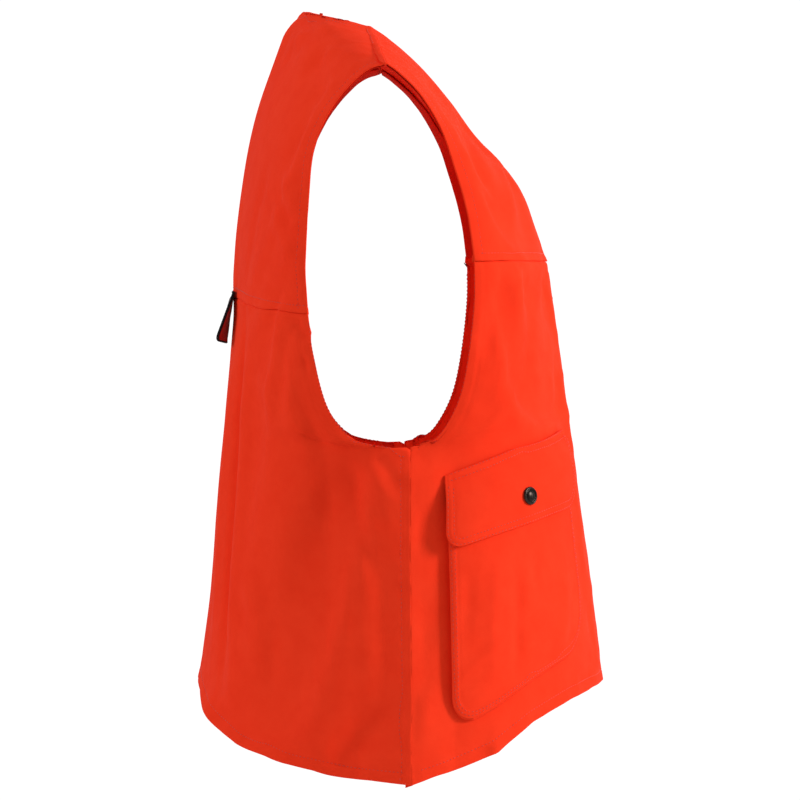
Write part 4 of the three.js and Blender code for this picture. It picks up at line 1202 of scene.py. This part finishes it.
# ---- materials ----------------------------------------------------------
class Nodes:
    def __init__(self, name):
        self.mat = bpy.data.materials.new(name)
        self.mat.use_nodes = True
        self.tree = self.mat.node_tree
        self.out = self.tree.nodes["Material Output"]
        self.bsdf = self.tree.nodes["Principled BSDF"]

    def add(self, kind, **values):
        node = self.tree.nodes.new(kind)
        for k, v in values.items():
            if hasattr(node, k):
                setattr(node, k, v)
            else:
                node.inputs[k.replace("_", " ")].default_value = v
        return node

    def link(self, a, b):
        self.tree.links.new(a, b)

    def feed(self, socket, value):
        self.link(value, self.bsdf.inputs[socket])

    def noise(self, coord, scale, detail=3.0, rough=0.55):
        n = self.add("ShaderNodeTexNoise")
        n.inputs["Scale"].default_value = scale
        n.inputs["Detail"].default_value = detail
        n.inputs["Roughness"].default_value = rough
        self.link(coord, n.inputs["Vector"])
        return n.outputs["Fac"]

    def span(self, value, lo, hi, a=0.0, b=1.0):
        n = self.add("ShaderNodeMapRange")
        for k, x in zip(("From Min", "From Max", "To Min", "To Max"), (lo, hi, a, b)):
            n.inputs[k].default_value = x
        self.link(value, n.inputs["Value"])
        return n.outputs["Result"]

    def mix(self, fac, a, b):
        n = self.add("ShaderNodeMix", data_type="RGBA", blend_type="MIX")
        for sock, x in ((n.inputs[0], fac), (n.inputs[6], a), (n.inputs[7], b)):
            if isinstance(x, (tuple, list)):
                sock.default_value = (*x, 1.0)
            elif isinstance(x, (int, float)):
                sock.default_value = x
            else:
                self.link(x, sock)
        return n.outputs[2]

    def math(self, op, a, b=0.0):
        n = self.add("ShaderNodeMath", operation=op)
        for k, x in enumerate((a, b)):
            if isinstance(x, (int, float)):
                n.inputs[k].default_value = x
            else:
                self.link(x, n.inputs[k])
        return n.outputs[0]

    def bands(self, coord, pitch, turn=0.0, wobble=0.0):
        """Smooth stripes of the given pitch in metres, turned about the cloth's own plane."""
        m = self.add("ShaderNodeMapping")
        m.inputs["Rotation"].default_value = (0, 0, turn)
        self.link(coord, m.inputs["Vector"])
        w = self.add("ShaderNodeTexWave", wave_type="BANDS", bands_direction="X", wave_profile="SIN")
        w.inputs["Scale"].default_value = math.pi * 2 / 20 / pitch
        w.inputs["Distortion"].default_value = wobble
        w.inputs["Detail"].default_value = 1.0
        self.link(m.outputs[0], w.inputs["Vector"])
        return w.outputs["Fac"]

    def bump(self, height, strength, distance, before=None):
        b = self.add("ShaderNodeBump")
        b.inputs["Strength"].default_value = strength
        b.inputs["Distance"].default_value = distance
        self.link(height, b.inputs["Height"])
        if before is not None:
            self.link(before, b.inputs["Normal"])
        return b.outputs["Normal"]

    def finish(self, **fixed):
        for k, v in fixed.items():
            s = self.bsdf.inputs[k.replace("_", " ")]
            s.default_value = (*v, 1.0) if isinstance(v, tuple) else v
        return self.mat


def cloth_material(name, base, pale, deep, weave=0.0006, roughness=(0.72, 0.9), sheen=0.25, nap=0.5, uv=True,
                   fade=0.5, tint=(1.0, 0.6, 0.5)):
    n = Nodes(name)
    at = n.add("ShaderNodeTexCoord")
    where = at.outputs["Object"]
    grain = at.outputs["UV"] if uv else where
    broad = n.noise(where, 7.0, 3.0)
    middle = n.noise(where, 55.0, 4.0, 0.6)
    fuzz = n.noise(where, 1500.0, 3.0, 0.7)
    slub = n.noise(grain, 260.0, 2.0)
    warp = n.bands(grain, weave, 0.0, 0.4)
    weft = n.bands(grain, weave, math.pi / 2, 0.4)
    twill = n.bands(grain, weave * 1.6, math.radians(56), 0.6)
    thread = n.math("MULTIPLY", n.math("ADD", warp, weft), 0.5)
    relief = n.math("ADD", n.math("MULTIPLY", thread, 0.45), n.math("MULTIPLY", twill, 0.55))
    relief = n.math("ADD", relief, n.math("MULTIPLY", fuzz, nap))
    colour = n.mix(n.span(broad, 0.35, 0.68, 0.0, fade), base, pale)
    colour = n.mix(n.span(middle, 0.38, 0.75, 0.0, 0.35), colour, deep)
    colour = n.mix(n.span(slub, 0.55, 0.8, 0.0, 0.3), colour, pale)
    colour = n.mix(n.span(relief, 0.35, 0.9, 0.0, 0.22), colour, deep)
    n.feed("Base Color", colour)
    n.feed("Roughness", n.span(n.math("ADD", middle, n.math("MULTIPLY", fuzz, 0.5)), 0.4, 1.1, *roughness))
    crumple = n.bump(n.noise(where, 38.0, 4.0, 0.55), 0.22, 0.0022)
    n.feed("Normal", n.bump(relief, 0.4, 0.00022, crumple))
    return n.finish(Sheen_Weight=sheen, Sheen_Roughness=0.45, Sheen_Tint=tint, Specular_IOR_Level=0.04)


ORANGE = (0.93, 0.040, 0.011)
ORANGE_CLOTH = cloth_material("blaze_orange_twill", ORANGE, (0.96, 0.052, 0.015), (0.84, 0.027, 0.007),
                              sheen=0.015)
# The facings and the hanger loop take a darker, redder copy of the orange twill: painted shade for the
# garment's inside, where they sit.
SHADED_FACING_CLOTH = cloth_material("facing_twill", (0.72, 0.022, 0.007), (0.80, 0.03, 0.009), (0.60, 0.014, 0.004),
                              sheen=0.04)
RED_CLOTH = cloth_material("dark_red_pouch_cloth", (0.36, 0.006, 0.004), (0.45, 0.010, 0.006),
                           (0.26, 0.003, 0.002), weave=0.0008, sheen=0.15)
LABEL_CLOTH = cloth_material("woven_label", (0.78, 0.77, 0.74), (0.85, 0.84, 0.82), (0.62, 0.61, 0.58),
                             weave=0.0004, roughness=(0.5, 0.7), sheen=0.1, nap=0.15, tint=(1, 1, 1))
TAPE_CLOTH = cloth_material("zip_tape_weave", (0.80, 0.045, 0.015), (0.86, 0.06, 0.02), (0.62, 0.025, 0.008),
                            weave=0.0009, sheen=0.1, nap=0.25)
BINDING_CLOTH = cloth_material("black_binding", (0.012, 0.011, 0.012), (0.03, 0.028, 0.03),
                               (0.006, 0.006, 0.006), weave=0.0007, uv=False, roughness=(0.6, 0.85), sheen=0.1,
                               tint=(0.6, 0.6, 0.6))


def thread_material(name, base, deep):
    n = Nodes(name)
    where = n.add("ShaderNodeTexCoord").outputs["Object"]
    twist = n.bands(where, 0.0005, math.radians(35), 1.0)
    tone = n.noise(where, 300.0, 3.0)
    shade = n.span(n.math("ADD", n.math("MULTIPLY", twist, 0.6), tone), 0.5, 1.2)
    n.feed("Base Color", n.mix(shade, base, deep))
    n.feed("Roughness", n.span(tone, 0.3, 0.7, 0.42, 0.62))
    n.feed("Normal", n.bump(twist, 0.5, 0.0001))
    return n.finish(Sheen_Weight=0.2, Specular_IOR_Level=0.4)


THREAD = thread_material("orange_thread", (0.74, 0.026, 0.008), (0.52, 0.014, 0.004))
RED_THREAD = thread_material("dark_red_thread", (0.30, 0.010, 0.008), (0.20, 0.004, 0.003))
PALE_THREAD = thread_material("pale_thread", (0.70, 0.68, 0.64), (0.5, 0.48, 0.45))


def metal_material():
    n = Nodes("gunmetal")
    where = n.add("ShaderNodeTexCoord").outputs["Object"]
    patina = n.noise(where, 160.0, 5.0, 0.6)
    scratch = n.noise(where, 2200.0, 2.0, 0.8)
    worn = n.add("ShaderNodeNewGeometry").outputs["Pointiness"]
    colour = n.mix(n.span(patina, 0.35, 0.7), (0.018, 0.014, 0.012), (0.045, 0.036, 0.03))
    colour = n.mix(n.span(worn, 0.53, 0.64, 0.0, 0.55), colour, (0.16, 0.13, 0.11))
    n.feed("Base Color", colour)
    n.feed("Roughness", n.span(n.math("ADD", patina, n.math("MULTIPLY", scratch, 0.4)), 0.5, 1.0, 0.24, 0.44))
    n.feed("Normal", n.bump(scratch, 0.12, 0.00006))
    return n.finish(Metallic=1.0)


def plastic_material():
    n = Nodes("zip_tooth_plastic")
    where = n.add("ShaderNodeTexCoord").outputs["Object"]
    tone = n.noise(where, 90.0, 3.0)
    fine = n.noise(where, 1600.0, 3.0)
    n.feed("Base Color", n.mix(n.span(tone, 0.35, 0.7), (0.78, 0.045, 0.016), (0.66, 0.03, 0.01)))
    n.feed("Roughness", n.span(fine, 0.3, 0.7, 0.32, 0.5))
    n.feed("Normal", n.bump(fine, 0.15, 0.00008))
    return n.finish(Specular_IOR_Level=0.5, Coat_Weight=0.15, Coat_Roughness=0.3)


def film_material():
    n = Nodes("clear_vinyl_film")
    where = n.add("ShaderNodeTexCoord").outputs["Object"]
    ripple = n.noise(where, 60.0, 3.0)
    haze = n.noise(where, 220.0, 4.0, 0.6)
    n.feed("Base Color", n.mix(n.span(haze, 0.4, 0.75), (0.97, 0.98, 0.98), (0.86, 0.88, 0.88)))
    n.feed("Roughness", n.span(haze, 0.35, 0.75, 0.06, 0.2))
    n.feed("Normal", n.bump(ripple, 0.2, 0.0012))
    return n.finish(Transmission_Weight=0.92, IOR=1.45, Alpha=0.75)


METAL, TEETH, FILM = metal_material(), plastic_material(), film_material()


def floor_material():
    n = Nodes("pale_floor")
    where = n.add("ShaderNodeTexCoord").outputs["Object"]
    n.feed("Base Color", n.mix(n.span(n.noise(where, 3.0), 0.3, 0.7), (0.83, 0.83, 0.83), (0.79, 0.79, 0.79)))
    return n.finish(Roughness=0.75)


# ---- riding, baking in place and standing in for the CAD ----------------
def dress(ob, material, slot, cad=(), body=None, bend=None):
    ob.data.materials.clear()
    ob.data.materials.append(material)
    if cad:
        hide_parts(*cad)
    if bend:
        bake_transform(ob)
    else:
        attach(ob, body)


def bend_front(label):
    return ("vest", label + "_front", (0, -0.027, -0.3), (0, -0.053, -0.3))


def bend_yoke(label):
    return ("vest", label + "_front", (0, 0, 0.0), (0, 0, -0.184))


def bend_flap(label, m):
    edge = patch_at(FLAP, np.array([0.5]), np.array([1.0]))
    at = on_body(FRONT, edge[:, 0], edge[:, 1])[0] * np.array([m, 1, 1])
    start = (at - SHOULDERS) * 0.001
    hinge = np.array([0.70595 * m, -0.66121, 0.25386])
    down = hinge * hinge[2] - np.array([0, 0, 1.0])
    down /= np.linalg.norm(down)
    return (label + "_front", label + "_flap", tuple(start + down * 0.003), tuple(start + down * 0.026))


for m, label in ((1, "right"), (-1, "left")):
    front, flap = label + "_front", label + "_flap"
    # the facings below get the painted-shade copy of the orange twill
    facing = (SHADED_FACING_CLOTH, "facing_cloth", [label + "_armhole_facing"])
    dress(MADE[label + "_front_panel"][0], ORANGE_CLOTH, "cloth", [label + "_front_panel"],
          bend=bend_front(label))
    dress(STITCHES[front], THREAD, "cloth", bend=bend_front(label))
    dress(MADE[label + "_front_yoke"][0], ORANGE_CLOTH, "cloth", [label + "_front_yoke"],
          bend=bend_yoke(label))
    dress(STITCHES[label + "_yoke"], THREAD, "cloth", bend=bend_yoke(label))
    dress(FACINGS[label + "_arm_front_low"], *facing, bend=bend_front(label))
    dress(FACINGS[label + "_arm_front_high"], *facing, bend=bend_yoke(label))
    dress(FACINGS[label + "_arm_back"], *facing, "vest")
    dress(FACINGS[label + "_neck_front"], SHADED_FACING_CLOTH, "facing_cloth", ["neck_facing"],
          bend=bend_yoke(label))
    dress(POCKETS[label][0], ORANGE_CLOTH, "cloth", [label + "_pocket"], front)
    dress(STITCHES[label + "_pocket"], THREAD, "cloth", body=front)
    dress(FLAPS[label][0], ORANGE_CLOTH, "cloth", [label + "_pocket_flap"], bend=bend_flap(label, m))
    dress(STITCHES[label + "_flap"], THREAD, "cloth", bend=bend_flap(label, m))
    dress(CAPS[label], METAL, "snap_metal", [label + "_snap_cap"], flap)
    dress(TAPES[label], TAPE_CLOTH, "zip_tape", [label + "_zipper_tape"], front)
dress(FACINGS["neck_back"], SHADED_FACING_CLOTH, "facing_cloth", ["neck_facing"], "vest")
dress(MADE["back_panel"][0], ORANGE_CLOTH, "cloth", ["back_panel"], "vest")
dress(MADE["back_yoke"][0], ORANGE_CLOTH, "cloth", ["back_yoke"], "vest")
dress(STITCHES["back"], THREAD, "cloth", body="vest")
dress(STITCHES["back_yoke"], THREAD, "cloth", body="vest")
dress(HOLDER_BACK, RED_CLOTH, "dark_red_cloth", ["licence_holder"], "licence")
dress(HOLDER_RIM, BINDING_CLOTH, "dark_red_cloth", ["licence_holder"], "licence")
dress(HOLDER_STITCH, RED_THREAD, "dark_red_cloth", body="licence")
dress(HOLDER_WINDOW, FILM, "clear_vinyl", ["licence_window"], "licence")
dress(LOOP, SHADED_FACING_CLOTH, "facing_cloth", ["hanger_loop"], "vest")
dress(LABEL, LABEL_CLOTH, "label_cloth", ["neck_label"], "vest")
dress(LABEL_STITCH, PALE_THREAD, "label_cloth", body="vest")

for name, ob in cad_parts.items():
    if ob.hide_render:
        continue
    for slot in ob.material_slots:
        slot.material = TEETH if "teeth" in name else METAL


def area_of(ob):
    """The finished mesh's own area, counting one of its two skins."""
    return sum(p.area for p in ob.data.polygons) / 2


SHEETS = {
    "back_panel": (0.62, 0.42), "back_yoke": (0.41, 0.27), "right_front_panel": (0.28, 0.46),
    "left_front_panel": (0.28, 0.46), "right_front_yoke": (0.20, 0.25), "left_front_yoke": (0.20, 0.25),
}
for key, flat in SHEETS.items():
    ob = MADE[key][0]
    size = min(area_of(ob), 0.999 * flat[0] * flat[1])

# ---- light, floor and camera --------------------------------------------
scene = bpy.context.scene
world = bpy.data.worlds.new("studio")
scene.world = world
world.use_nodes = True
wt = world.node_tree
bg = wt.nodes["Background"]
coord = wt.nodes.new("ShaderNodeTexCoord")
split = wt.nodes.new("ShaderNodeSeparateXYZ")
wt.links.new(coord.outputs["Generated"], split.inputs[0])
ramp = wt.nodes.new("ShaderNodeMapRange")
for k, x in zip(("From Min", "From Max", "To Min", "To Max"), (-1.0, 1.0, 0.52, 0.44)):
    ramp.inputs[k].default_value = x
wt.links.new(split.outputs["Y"], ramp.inputs["Value"])
ray = wt.nodes.new("ShaderNodeLightPath")
plain = wt.nodes.new("ShaderNodeMix")
plain.data_type = "FLOAT"
plain.inputs[3].default_value = 1.05
wt.links.new(ray.outputs["Is Camera Ray"], plain.inputs[0])
wt.links.new(ramp.outputs["Result"], plain.inputs[2])
wt.links.new(plain.outputs[0], bg.inputs["Strength"])
bg.inputs["Color"].default_value = (1, 1, 1, 1)


LIT = (0, 0, -0.3)


def soft_light(name, at, size, power):
    """A round area light, turned to the vest's middle."""
    data = bpy.data.lights.new(name, "AREA")
    data.shape = "DISK"
    data.size = size
    data.energy = power
    ob = bpy.data.objects.new(name, data)
    scene.collection.objects.link(ob)
    ob.location = at
    ob.rotation_euler = (Vector(LIT) - Vector(at)).to_track_quat("-Z", "Y").to_euler()


soft_light("key", (-1.0, -3.2, 0.9), 1.0, 94)
soft_light("back", (-0.7, 3.2, 1.0), 0.9, 34)
soft_light("fill", (2.6, -1.6, 0.8), 1.6, 8)
soft_light("top", (-0.2, 0.0, 2.6), 1.6, 9)

AIM = Vector((0, -0.0197, -0.3045))
AZ, EL, DIST = math.radians(269.3), math.radians(0.5), 10.0
cam_data = bpy.data.cameras.new("camera")
cam_data.lens = 517.0
cam_data.sensor_width = 36
cam_data.clip_end = 60
camera = bpy.data.objects.new("camera", cam_data)
scene.collection.objects.link(camera)
BACKWARDS = Vector((math.sin(AZ) * math.cos(EL), -math.cos(AZ) * math.cos(EL), math.sin(EL)))
camera.location = AIM + DIST * BACKWARDS
camera.rotation_euler = (AIM - camera.location).to_track_quat("-Z", "Y").to_euler()
scene.camera = camera
scene.view_settings.view_transform = "Standard"

me = bpy.data.meshes.new("floor")
FLOOR_RADIUS, FLOOR_AT, FLOOR_SIDES = 1.5, -0.93, 96
turn = np.linspace(0, 2 * math.pi, FLOOR_SIDES, endpoint=False)
ring = [(FLOOR_RADIUS * math.cos(a), FLOOR_RADIUS * math.sin(a), FLOOR_AT) for a in turn]
me.from_pydata(ring, [], [list(range(FLOOR_SIDES))])
floor = bpy.data.objects.new("floor", me)
scene.collection.objects.link(floor)
me.materials.append(floor_material())
